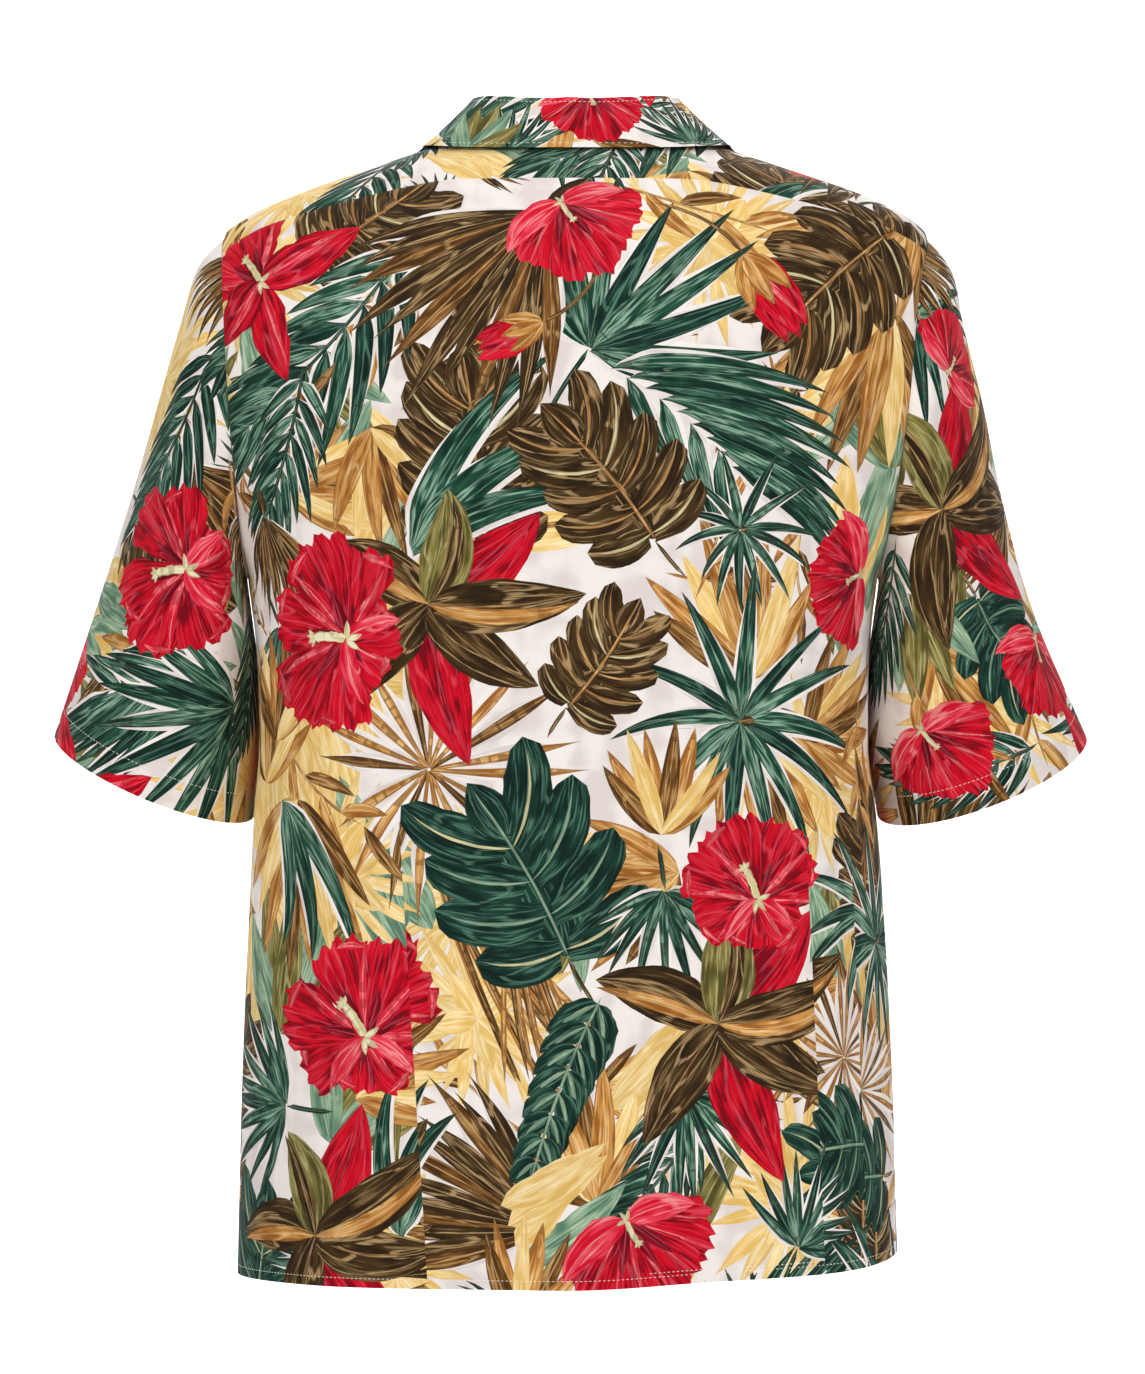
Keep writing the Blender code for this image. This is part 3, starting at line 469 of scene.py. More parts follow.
def spread(profile: Profile, s: Array) -> Array:
    """Return the share of the full width at shares of a stroke's length."""
    s = np.clip(s, 0.0, 1.0)
    if profile is Profile.LEAF:
        return s ** 0.6 * (1.0 - s) ** 0.9 / 0.364
    if profile is Profile.BLADE:
        return (0.18 + 0.82 * smooth_step(s / 0.22)) * (1.0 - s ** 2.6) ** 0.9
    if profile is Profile.FINGER:
        return (0.34 + 0.66 * smooth_step(s / 0.62)) * (1.0 - smooth_step((s - 0.6) / 0.4)) ** 0.8
    if profile is Profile.PETAL:
        return 0.22 + 0.78 * smooth_step(s / 0.85)
    if profile is Profile.LOBE:
        return (0.55 + 0.45 * smooth_step(s / 0.4)) * np.sqrt(np.maximum(1.0 - s ** 5, 0.0))
    return np.minimum(1.0, 0.6 + 4.0 * s) * np.minimum(1.0, 6.0 * (1.0 - s))


class Tones(NamedTuple):
    """A paint's tones as screen values, and how it is laid: how strongly a light rib, a dark
    outline and light streaks show, and how much lighter it runs towards the tip."""

    dark: tuple[int, int, int]
    middle: tuple[int, int, int]
    light: tuple[int, int, int]
    rib: float
    rim: float
    streaks: float
    tip: float


class Paint(Enum):
    """The paints of the print."""

    FOREST = Tones((12, 44, 34), (32, 76, 58), (150, 184, 158), 0.45, 0.60, 0.80, -0.55)
    PINE = Tones((8, 32, 27), (20, 56, 45), (104, 148, 124), 0.55, 0.55, 0.45, -0.15)
    SAGE = Tones((84, 120, 98), (136, 166, 134), (206, 216, 190), 0.40, 0.40, 0.60, 0.10)
    BROWN = Tones((40, 27, 11), (66, 46, 20), (206, 170, 118), 0.70, 0.55, 0.24, 0.05)
    UMBER = Tones((74, 46, 17), (120, 78, 34), (214, 172, 112), 0.60, 0.60, 0.45, 0.10)
    OCHRE = Tones((150, 92, 36), (198, 142, 72), (244, 212, 156), 0.45, 0.65, 0.55, -0.20)
    STRAW = Tones((222, 180, 98), (236, 203, 134), (250, 238, 204), 0.35, 0.15, 0.50, -0.10)
    OLIVE = Tones((80, 74, 34), (126, 116, 60), (200, 190, 132), 0.60, 0.45, 0.50, 0.10)
    CRIMSON = Tones((118, 0, 20), (200, 0, 30), (228, 84, 104), 0.55, 0.60, 0.18, 0.34)
    ROSE = Tones((204, 8, 40), (224, 60, 82), (246, 176, 172), 0.55, 0.55, 0.45, 0.20)
    WINE = Tones((92, 0, 18), (140, 2, 30), (222, 90, 104), 0.40, 0.30, 0.30, 0.30)
    CREAM = Tones((204, 192, 140), (232, 224, 184), (250, 245, 222), 0.00, 0.60, 0.50, 0.00)
    IVORY = Tones((220, 209, 204), (236, 228, 222), (243, 237, 232), 0.00, 0.00, 0.30, 0.00)


@dataclass
class Stroke:
    """One brush stroke, along an arc, in millimetres on the cloth."""

    x: float
    y: float
    heading: float
    length: float
    width: float
    paint: Paint
    profile: Profile = Profile.LEAF
    bend: float = 0.0
    ruffle: float = 0.0
    waves: float = 0.0
    seed: float = 0.0

    def spine(self, s: Array) -> tuple[Array, Array]:
        """Return the points and left-hand directions of the arc at shares of its length."""
        heading = self.heading + self.bend * s
        if abs(self.bend) < 1e-3:
            x = self.x + self.length * s * math.cos(self.heading)
            y = self.y + self.length * s * math.sin(self.heading)
        else:
            radius = self.length / self.bend
            x = self.x + radius * (np.sin(heading) - math.sin(self.heading))
            y = self.y - radius * (np.cos(heading) - math.cos(self.heading))
        return np.stack((x, y), -1), np.stack((-np.sin(heading), np.cos(heading)), -1)

    def wave(self, s: Array, phase: float) -> Array:
        """Return an uneven wave along an edge."""
        turn = TURN * (self.waves * s + self.seed + phase)
        return 0.6 * np.sin(turn) + 0.4 * np.sin(2.3 * turn + 5.0 * self.seed)

    def outline(self) -> Array:
        """Return the stroke's outline, anticlockwise, as points."""
        steps = max(4, int(self.length / 6.5), int(abs(self.bend) * 7), int(self.waves * 5))
        petal = self.profile is Profile.PETAL
        s = np.linspace(0.0, 0.86 if petal else 1.0, steps + 1)
        half = self.width / 2.0 * spread(self.profile, s)
        spine, left = self.spine(s)
        fade = np.minimum(1.0, 3.0 * s)
        right_edge = spine - left * (half * (1.0 + self.ruffle * fade * self.wave(s, 0.3)))[:, None]
        left_edge = spine + left * (half * (1.0 + self.ruffle * fade * self.wave(s, 0.0)))[:, None]
        if not petal:
            return np.concatenate((right_edge, left_edge[-2:0:-1]))
        across = np.linspace(-1.0, 1.0, max(7, int(self.width / 2.6)))[1:-1]
        ends = 1.0 - 0.13 * np.abs(across) ** 2.5 + 0.60 * self.ruffle * self.wave(across * 0.8, 0.6)
        tip, tip_left = self.spine(ends)
        crown = tip + tip_left * (across * self.width / 2.0 * spread(self.profile, ends))[:, None]
        return np.concatenate((right_edge, crown, left_edge[::-1]))

    def local(self, points: Array) -> tuple[Array, Array, Array]:
        """Return shares along and across the stroke, and millimetres to its edge, of points."""
        away = points - np.array((self.x, self.y))
        cosine, sine = math.cos(self.heading), math.sin(self.heading)
        if abs(self.bend) < 1e-3:
            along = (away[..., 0] * cosine + away[..., 1] * sine) / self.length
            off = -away[..., 0] * sine + away[..., 1] * cosine
        else:
            radius = self.length / self.bend
            arm = away - radius * np.array((-sine, cosine))
            start = math.atan2(-radius * cosine, radius * sine)
            swing = (np.arctan2(arm[..., 1], arm[..., 0]) - start + math.pi) % TURN - math.pi
            along = swing / self.bend
            reach = np.hypot(arm[..., 0], arm[..., 1])
            off = (abs(radius) - reach) * math.copysign(1.0, radius)
        half = self.width / 2.0 * np.maximum(spread(self.profile, along), 0.12)
        across = np.clip(off / half, -1.2, 1.2)
        edge = np.minimum((1.0 - np.abs(across)) * half, (1.0 - along) * self.length + 0.4)
        return along, across, np.maximum(edge, 0.0)


def inside(ring: Array, points: Array) -> Array:
    """Return which points lie inside a closed ring."""
    result = np.zeros(len(points), bool)
    x, y = points[:, 0], points[:, 1]
    x0, y0 = ring[-1]
    for x1, y1 in ring:
        if y0 != y1:
            crosses = (y0 > y) != (y1 > y)
            result ^= crosses & (x < (x1 - x0) * (y - y0) / (y1 - y0) + x0)
        x0, y0 = x1, y1
    return result


class Place(NamedTuple):
    """Where a motif stands on the cloth, how large it is, and which way it faces in degrees."""

    x: float
    y: float
    size: float
    turn: float

    def turned(self, spin: float, scale: float = 1.0) -> "Place":
        """Return the place turned and scaled."""
        return self._replace(size=self.size * scale, turn=self.turn + spin)

    def moved(self, ahead: float, left: float) -> "Place":
        """Return the place moved ahead and to its left, by shares of its size."""
        sine, cosine = math.sin(math.radians(self.turn)), math.cos(math.radians(self.turn))
        return self._replace(x=self.x + self.size * (ahead * cosine - left * sine),
                             y=self.y + self.size * (ahead * sine + left * cosine))

    def rib(self, bend: float, part: float = 1.0) -> Stroke:
        """Return an arc that starts here, for marks to stand along. It isn't painted."""
        return Stroke(self.x, self.y, math.radians(self.turn), self.size * part, 1.0, Paint.IVORY,
                      bend=math.radians(bend))

    def along(self, stroke: Stroke, share: float) -> "Place":
        """Return the place at a share of a stroke's arc, facing as the arc does."""
        spine, _ = stroke.spine(np.array([share]))
        return Place(float(spine[0, 0]), float(spine[0, 1]), self.size,
                     math.degrees(stroke.heading + stroke.bend * share))


GREENS = (Paint.FOREST, Paint.FOREST, Paint.PINE)


class Painter:
    """Paints one motif after another, as strokes, the lowest first.

    A motif stands on a place. Its marks turn from the way that the place faces, in degrees, and
    their lengths and widths are shares of its size.
    """

    def __init__(self, seed: int) -> None:
        """Start with no strokes.

        Args:
            seed: fixes every uneven choice.
        """
        self.rng = np.random.default_rng(seed)
        self.strokes: list[Stroke] = []

    def about(self, value: float, share: float = 0.12) -> float:
        """Return a value that differs a little each time."""
        return value * (1.0 + share * float(self.rng.uniform(-1.0, 1.0)))

    def side(self) -> float:
        """Return 1 or -1, either as likely."""
        return 1.0 if self.rng.random() < 0.5 else -1.0

    def mark(self, at: Place, spin: float, reach: float, wide: float, paint: Paint,
             profile: Profile = Profile.LEAF, bend: float = 0.0, ruffle: float = 0.0,
             waves: float = 0.0) -> Stroke:
        """Lay one stroke.

        Args:
            at: where it starts.
            spin: its heading there, from the way that the place faces.
            reach: its length, as a share of the place's size.
            wide: its greatest width, as a share of the place's size.
            paint: its paint.
            profile: how its width changes.
            bend: how far it turns along its length, in degrees.
            ruffle: how uneven its edges are, as a share of its width.
            waves: how many waves each edge has.

        Returns:
            The stroke.
        """
        stroke = Stroke(at.x, at.y, math.radians(at.turn + spin), at.size * reach, at.size * wide,
                        paint, profile, math.radians(bend), ruffle, waves, float(self.rng.random()))
        self.strokes.append(stroke)
        return stroke

    def stem(self, at: Place, spin: float, reach: float, width: float, paint: Paint,
             bend: float = 0.0) -> Stroke:
        """Lay one thin stroke, of a width in millimetres, and return it."""
        return self.mark(at, spin, reach, width / at.size, paint, Profile.STEM, bend)

    def veined(self, at: Place, spin: float, reach: float, wide: float, paint: Paint,
               edge: Paint | None = None, bend: float = 0.0) -> None:
        """Paint a broad pointed leaf with a fine dark rib, and perhaps one half turned over."""
        bend = bend + self.about(8.0, 1.0)
        spin = spin - bend * 0.3
        self.mark(at, spin, reach, wide, paint, Profile.LEAF, bend, 0.05, 1.6)
        if edge is not None:
            side = self.side()
            self.mark(at, spin + side * 14.0, reach * 0.97, wide * 0.30, edge, Profile.LEAF,
                      bend - side * 22.0, 0.10, 2.0)
        self.stem(at, spin, reach * 0.93, 1.0, Paint.WINE if paint is Paint.CRIMSON else Paint.UMBER, bend)

    def petal(self, at: Place, spin: float, reach: float, wide: float, bend: float = 0.0) -> None:
        """Paint one wide ruffled petal with a fold and a dark heart."""
        blade = self.mark(at, spin, reach, wide, Paint.CRIMSON, Profile.PETAL, bend, 0.11, 2.3)
        side = self.side()
        crown = at.along(blade, 0.93).moved(0.0, side * wide * 0.05)
        self.mark(crown, side * 97.0, wide * 0.46, wide * 0.11, Paint.ROSE, Profile.LEAF, side * 30.0,
                  0.25, 2.6)
        self.mark(at, spin + side * 15.0, reach * 0.90, wide * 0.13, Paint.ROSE, Profile.LEAF,
                  bend + side * 12.0, 0.2, 2.4)
        self.mark(at, spin - side * 5.0, reach * 0.52, wide * 0.16, Paint.WINE, Profile.LEAF, bend,
                  0.15, 2.0)

    def stamens(self, at: Place) -> None:
        """Paint a cream spike and its small heads."""
        spike = self.mark(at, 0.0, 0.26, 0.055, Paint.CREAM, Profile.STEM, 24.0, 0.2, 3.0)
        head = at.along(spike, 0.9)
        for spin in (-58.0, -20.0, 22.0, 60.0):
            self.mark(head, spin, 0.06, 0.03, Paint.CREAM)
        for spin in (-112.0, 128.0, 176.0):
            self.mark(at._replace(turn=head.turn), spin, 0.11, 0.04, Paint.CREAM, bend=20.0)

    def bloom(self, at: Place) -> None:
        """Paint an open flower seen from one side: long petals that way, short ones behind."""
        about = self.about
        self.mark(at.moved(-0.16, 0.0), 0.0, 0.36, 0.42, Paint.CRIMSON, Profile.LOBE)
        for spin, reach, wide in ((152.0, 0.34, 0.36), (-148.0, 0.36, 0.38), (98.0, 0.50, 0.42),
                                  (-92.0, 0.54, 0.40), (50.0, 0.60, 0.46), (-44.0, 0.62, 0.48),
                                  (4.0, 0.60, 0.42)):
            self.petal(at, spin + about(6.0, 1.0), about(reach, 0.08), about(wide, 0.1), about(12.0, 1.0))
        self.mark(at, 118.0, 0.40, 0.13, Paint.ROSE, Profile.LEAF, 34.0, 0.2, 3.0)
        self.mark(at, -120.0, 0.38, 0.12, Paint.ROSE, Profile.LEAF, -30.0, 0.2, 3.0)
        self.stamens(at.turned(about(8.0, 1.0)))

    def bell(self, at: Place) -> None:
        """Paint a nodding flower: a fan of petals below two pale folded ones."""
        for place in (-3, 3, -2, 2, -1, 1, 0):
            self.mark(at, place * 21.0 + self.about(4.0, 1.0), self.about(0.66 - 0.03 * abs(place), 0.06),
                      self.about(0.30, 0.1), Paint.CRIMSON, Profile.PETAL, -place * 3.0, 0.09, 2.0)
            self.mark(at, place * 21.0 + 6.0, 0.58, 0.035, Paint.ROSE, bend=-place * 3.0)
        for place in (-2, 0, 1):
            self.mark(at, place * 20.0 + 9.0, 0.40, 0.07, Paint.WINE)
        self.mark(at, 96.0, 0.50, 0.20, Paint.ROSE, Profile.LEAF, -40.0, 0.15, 2.0)
        self.mark(at, -94.0, 0.62, 0.22, Paint.ROSE, Profile.LEAF, 46.0, 0.15, 2.0)
        self.stamens(at.turned(-10.0, 0.7))

    def lily(self, at: Place) -> None:
        """Paint a flower of long pointed petals and two round ones."""
        self.petal(at, 96.0, 0.52, 0.46, 10.0)
        self.petal(at, 168.0, 0.48, 0.50, -8.0)
        for spin, reach, wide in ((-78.0, 0.74, 0.30), (20.0, 0.84, 0.34), (-132.0, 0.56, 0.30)):
            self.mark(at, spin, reach, wide, Paint.CRIMSON, Profile.LEAF, 14.0, 0.12, 2.4)
            self.mark(at, spin + 8.0, reach * 0.86, wide * 0.26, Paint.ROSE, Profile.LEAF, 4.0, 0.2, 2.4)
        self.stamens(at.turned(120.0, 0.9))

    def bud(self, at: Place) -> None:
        """Paint a closed flower with its tan calyx and stem."""
        self.stem(at, 180.0, 1.1, 2.6, Paint.UMBER, 46.0)
        for spin, wide in ((-12.0, 0.36), (14.0, 0.38), (1.0, 0.34)):
            self.mark(at, spin, self.about(0.98, 0.05), wide, Paint.CRIMSON, Profile.LEAF, -spin * 0.8,
                      0.10, 2.5)
        self.mark(at, 5.0, 0.90, 0.08, Paint.ROSE, Profile.LEAF, 8.0, 0.2, 2.0)
        for spin in (-36.0, 32.0, -4.0):
            self.mark(at, spin, 0.60, 0.20, Paint.OCHRE, Profile.LEAF, -spin * 0.7, 0.1, 2.0)

    def halo(self, first: int, margin: float) -> None:
        """Leave unpainted cloth beside every stroke since one, but for its tip.

        Args:
            first: how many strokes lie lower and are left alone.
            margin: how wide the unpainted rim is, in millimetres.
        """
        above = self.strokes[first:]
        self.strokes[first:] = [replace(s, width=s.width + 2.0 * margin, length=s.length * 0.90,
                                        paint=Paint.IVORY) for s in above] + above

    def fan(self, at: Place, blades: int, sector: float, paints: Sequence[Paint], wide: float,
            profile: Profile = Profile.BLADE, droop: float = 10.0, hang: float = 0.0,
            bare: float = 0.0) -> None:
        """Paint blades that spread from one place.

        Args:
            at: that place. It faces the fan's middle, and its size is the longest blade.
            blades: how many.
            sector: how far they spread, in degrees.
            paints: their paints, used in turn.
            wide: a blade's width as a share of its length.
            profile: a blade's profile.
            droop: how far the outer blades bend away, in degrees.
            hang: how far a level blade bends down, in degrees.
            bare: how wide a rim beside each blade stays unpainted, in millimetres.
        """
        first = len(self.strokes)
        for place in np.argsort(self.rng.random(blades)):
            share = (place + 0.5) / blades * 2.0 - 1.0
            spin = share * sector / 2.0 + self.about(sector / blades * 0.16, 1.0)
            reach = (1.0 - 0.22 * abs(share) ** 2) * self.about(0.92, 0.10)
            self.mark(at, spin, reach, wide * self.about(1.0, 0.15), paints[int(place) % len(paints)],
                      profile, -droop * share - hang * math.cos(math.radians(at.turn + spin))
                      + self.about(5.0, 1.0))
        if bare > 0.0:
            self.halo(first, bare)

    def palm(self, at: Place) -> None:
        """Paint a green fan of long blades."""
        self.fan(at, 10, 175.0, GREENS, 0.100, droop=22.0, bare=at.size * 0.03)
        self.stem(at, 180.0, 0.4, 3.2, Paint.PINE, 12.0)

    def star(self, at: Place) -> None:
        """Paint a green star of blades all the way round."""
        self.fan(at, 13, 345.0, GREENS, 0.100, droop=0.0, hang=38.0, bare=at.size * 0.02)
        self.mark(at, 0.0, 0.09, 0.06, Paint.BROWN)

    def brown_palm(self, at: Place) -> None:
        """Paint a brown fan with stout fingers."""
        self.fan(at, 12, 104.0, (Paint.BROWN, Paint.BROWN, Paint.UMBER), 0.080, Profile.FINGER, 16.0,
                 bare=at.size * 0.02)
        self.mark(at, 180.0, 0.25, 0.10, Paint.BROWN)

    def rays(self, at: Place) -> None:
        """Paint a star of thin ochre rays."""
        self.fan(at, 19, 350.0, (Paint.OCHRE, Paint.OCHRE, Paint.UMBER, Paint.OCHRE), 0.062,
                 Profile.FINGER, 4.0, bare=3.5)

    def sun(self, at: Place) -> None:
        """Paint a pale yellow round fan."""
        self.fan(at, 22, 356.0, (Paint.STRAW,), 0.105, Profile.FINGER, 3.0)
        self.fan(at.turned(0.0, 0.55), 9, 350.0, (Paint.STRAW,), 0.42, Profile.LEAF, 0.0)

    def wash(self, at: Place) -> None:
        """Paint wide pale strokes side by side."""
        for step in range(5):
            spin = self.about(16.0, 1.0)
            paint = (Paint.STRAW, Paint.STRAW, Paint.SAGE)[int(self.rng.integers(3))]
            self.mark(at.moved(0.0, (step - 2.0) * 0.17), spin, self.about(0.9, 0.2), 0.27, paint,
                      Profile.LEAF, self.about(12.0, 1.0), 0.12, 2.0)

    def ribbon(self, at: Place) -> None:
        """Paint one wide straw-coloured blade with an ochre edge."""
        self.mark(at, 0.0, 1.0, 0.20, Paint.STRAW, Profile.LOBE, 8.0, 0.05, 2.0)
        self.mark(at, 4.0, 0.9, 0.035, Paint.OCHRE, Profile.LEAF, 4.0, 0.2, 3.0)

    def split_leaf(self, at: Place, paint: Paint, streak: Paint, lobes: int = 5,
                   reach: float = 0.42) -> None:
        """Paint a broad split leaf: close lobes on both sides of a curved rib.

        Args:
            at: its foot, its length and where it points.
            paint: its paint.
            streak: the paint of its rib and of most light seams between its lobes.
            lobes: how many on a side.
            reach: its half width as a share of its length.
        """
        rib = at.rib(16.0)
        self.mark(at, 0.0, 0.94, reach * 0.95, paint, Profile.LEAF, 16.0)
        for step in range(lobes):
            share = 0.04 + 0.80 * step / lobes
            here = at.along(rib, share)
            longest = reach * (0.62 + 0.60 * math.sin(math.pi * (0.20 + 0.66 * share)))
            for side in (-1.0, 1.0):
                spin = side * (98.0 - 62.0 * share)
                part = longest * self.about(1.0, 0.08)
                self.mark(here, spin, part, 1.06 / lobes, paint, Profile.LOBE, -side * 42.0, 0.07, 1.8)
                self.mark(here, spin + side * 3.0, part * 0.88, 0.016, streak if step % 3 else Paint.CREAM,
                          Profile.LEAF, -side * 42.0, 0.3, 2.4)
        self.mark(at.along(rib, 0.72), 0.0, 0.34, 0.24, paint, Profile.LEAF, 4.0)
        self.stem(at, 0.0, 1.0, 1.8, streak, 16.0)
        self.stem(at, 180.0, 0.30, 2.6, Paint.BROWN, 16.0)

    def brown_split(self, at: Place) -> None:
        """Paint a brown split leaf."""
        self.split_leaf(at, Paint.BROWN, Paint.OCHRE)

    def green_split(self, at: Place) -> None:
        """Paint a dark green split leaf with few, large lobes."""
        self.split_leaf(at, Paint.PINE, Paint.SAGE, 4, 0.52)

    def star_leaf(self, at: Place) -> None:
        """Paint broad brown leaves from one place, with crimson ones under them."""
        for spin, part in ((40.0, 0.98), (-74.0, 1.12)):
            self.veined(at, spin, part, 0.40, Paint.CRIMSON, None, 12.0)
        leaves = ((150.0, 0.84, Paint.BROWN, Paint.OCHRE), (-128.0, 0.92, Paint.BROWN, None),
                  (78.0, 0.80, Paint.OLIVE, Paint.BROWN), (-36.0, 1.0, Paint.BROWN, None),
                  (6.0, 1.10, Paint.BROWN, Paint.OCHRE))
        for spin, part, paint, edge in leaves:
            self.veined(at, spin, part * self.about(1.0, 0.08), 0.36, paint, edge, self.about(22.0, 1.0))

    def frond(self, at: Place) -> None:
        """Paint a green frond: narrow leaflets along both sides of a curved rib."""
        rib, first, count = at.rib(-22.0), len(self.strokes), 9
        for step in range(count):
            share = 0.08 + 0.90 * step / (count - 1)
            here = at.along(rib, share)
            longest = 0.22 + 0.34 * math.sin(math.pi * (0.15 + 0.75 * share))
            for side in (-1.0, 1.0):
                paint = Paint.FOREST if self.rng.random() < 0.72 else Paint.PINE
                self.mark(here, side * (50.0 - 30.0 * share), longest * self.about(0.92, 0.14), 0.074,
                          paint, Profile.BLADE, -side * 18.0)
        self.halo(first, at.size * 0.014)
        self.stem(at, 0.0, 1.0, 2.4, Paint.PINE, -22.0)

    def comb(self, at: Place) -> None:
        """Paint a frond seen from the side: long parallel blades along the top of its rib."""
        rib, first, count = at.rib(-26.0, 0.62), len(self.strokes), 9
        for step in range(count):
            share = 1.0 - step / count
            here = at.along(rib, share)
            self.mark(here, 36.0 - 12.0 * share, self.about(0.78 - 0.14 * share, 0.06), 0.072,
                      Paint.FOREST if step % 3 else Paint.PINE, Profile.BLADE, -28.0)
            if step % 2:
                self.mark(here, -40.0, self.about(0.44, 0.1), 0.062, Paint.FOREST, Profile.BLADE, 14.0)
        self.halo(first, at.size * 0.018)

    def arcs(self, at: Place) -> None:
        """Paint three long curved blades from one foot."""
        first = len(self.strokes)
        for spin, reach, wide in ((14.0, 1.0, 0.125), (-5.0, 0.88, 0.14), (-22.0, 0.78, 0.13)):
            self.mark(at, spin, reach, wide, Paint.FOREST, Profile.BLADE, -44.0)
        self.halo(first, at.size * 0.02)

    def twig(self, at: Place) -> None:
        """Paint a dark green twig with short jagged leaflets."""
        rib = at.rib(14.0)
        for step in range(8):
            share = 0.04 + 0.12 * step
            here = at.along(rib, share)
            reach = 0.30 * (1.0 - 0.50 * share)
            for side in (-1.0, 1.0):
                self.mark(here, side * 46.0, reach, 0.125, Paint.PINE, Profile.LEAF, -side * 22.0, 0.16, 2.5)
                self.mark(here, side * 44.0, reach * 0.8, 0.022, Paint.SAGE, bend=-side * 22.0)
        self.stem(at, 0.0, 1.0, 1.8, Paint.SAGE, 14.0)

    def spray(self, at: Place) -> None:
        """Paint a loose ochre spray: a stem with leaves on both sides."""
        stem = self.stem(at, 0.0, 1.0, 2.0, Paint.OCHRE, self.about(28.0, 1.0))
        for step in range(5):
            side = 1.0 if step % 2 else -1.0
            self.mark(at.along(stem, 0.25 + 0.19 * step), side * 38.0, self.about(0.40, 0.2), 0.09,
                      (Paint.OCHRE, Paint.UMBER, Paint.OCHRE)[step % 3], bend=-side * 24.0)

    def grass(self, at: Place) -> None:
        """Paint a tuft of wide ochre and umber leaves."""
        self.fan(at, 8, 120.0, (Paint.OCHRE, Paint.STRAW, Paint.OCHRE, Paint.UMBER), 0.15,
                 Profile.LEAF, 18.0)

    def reeds(self, at: Place) -> None:
        """Paint a bundle of thin stems that spread a little."""
        self.fan(at, 9, 34.0, (Paint.OCHRE, Paint.UMBER), 0.022, Profile.STEM, 8.0)

    def soft(self, at: Place) -> None:
        """Paint soft olive and sage leaves."""
        self.fan(at, 5, 110.0, (Paint.OLIVE, Paint.SAGE, Paint.OLIVE), 0.24, Profile.LEAF, 20.0)

    def trunk(self, at: Place) -> None:
        """Paint a thick olive stem."""
        self.mark(at, 0.0, 1.0, 0.22, Paint.OLIVE, Profile.LOBE, 10.0, 0.05, 2.0)


P = Painter

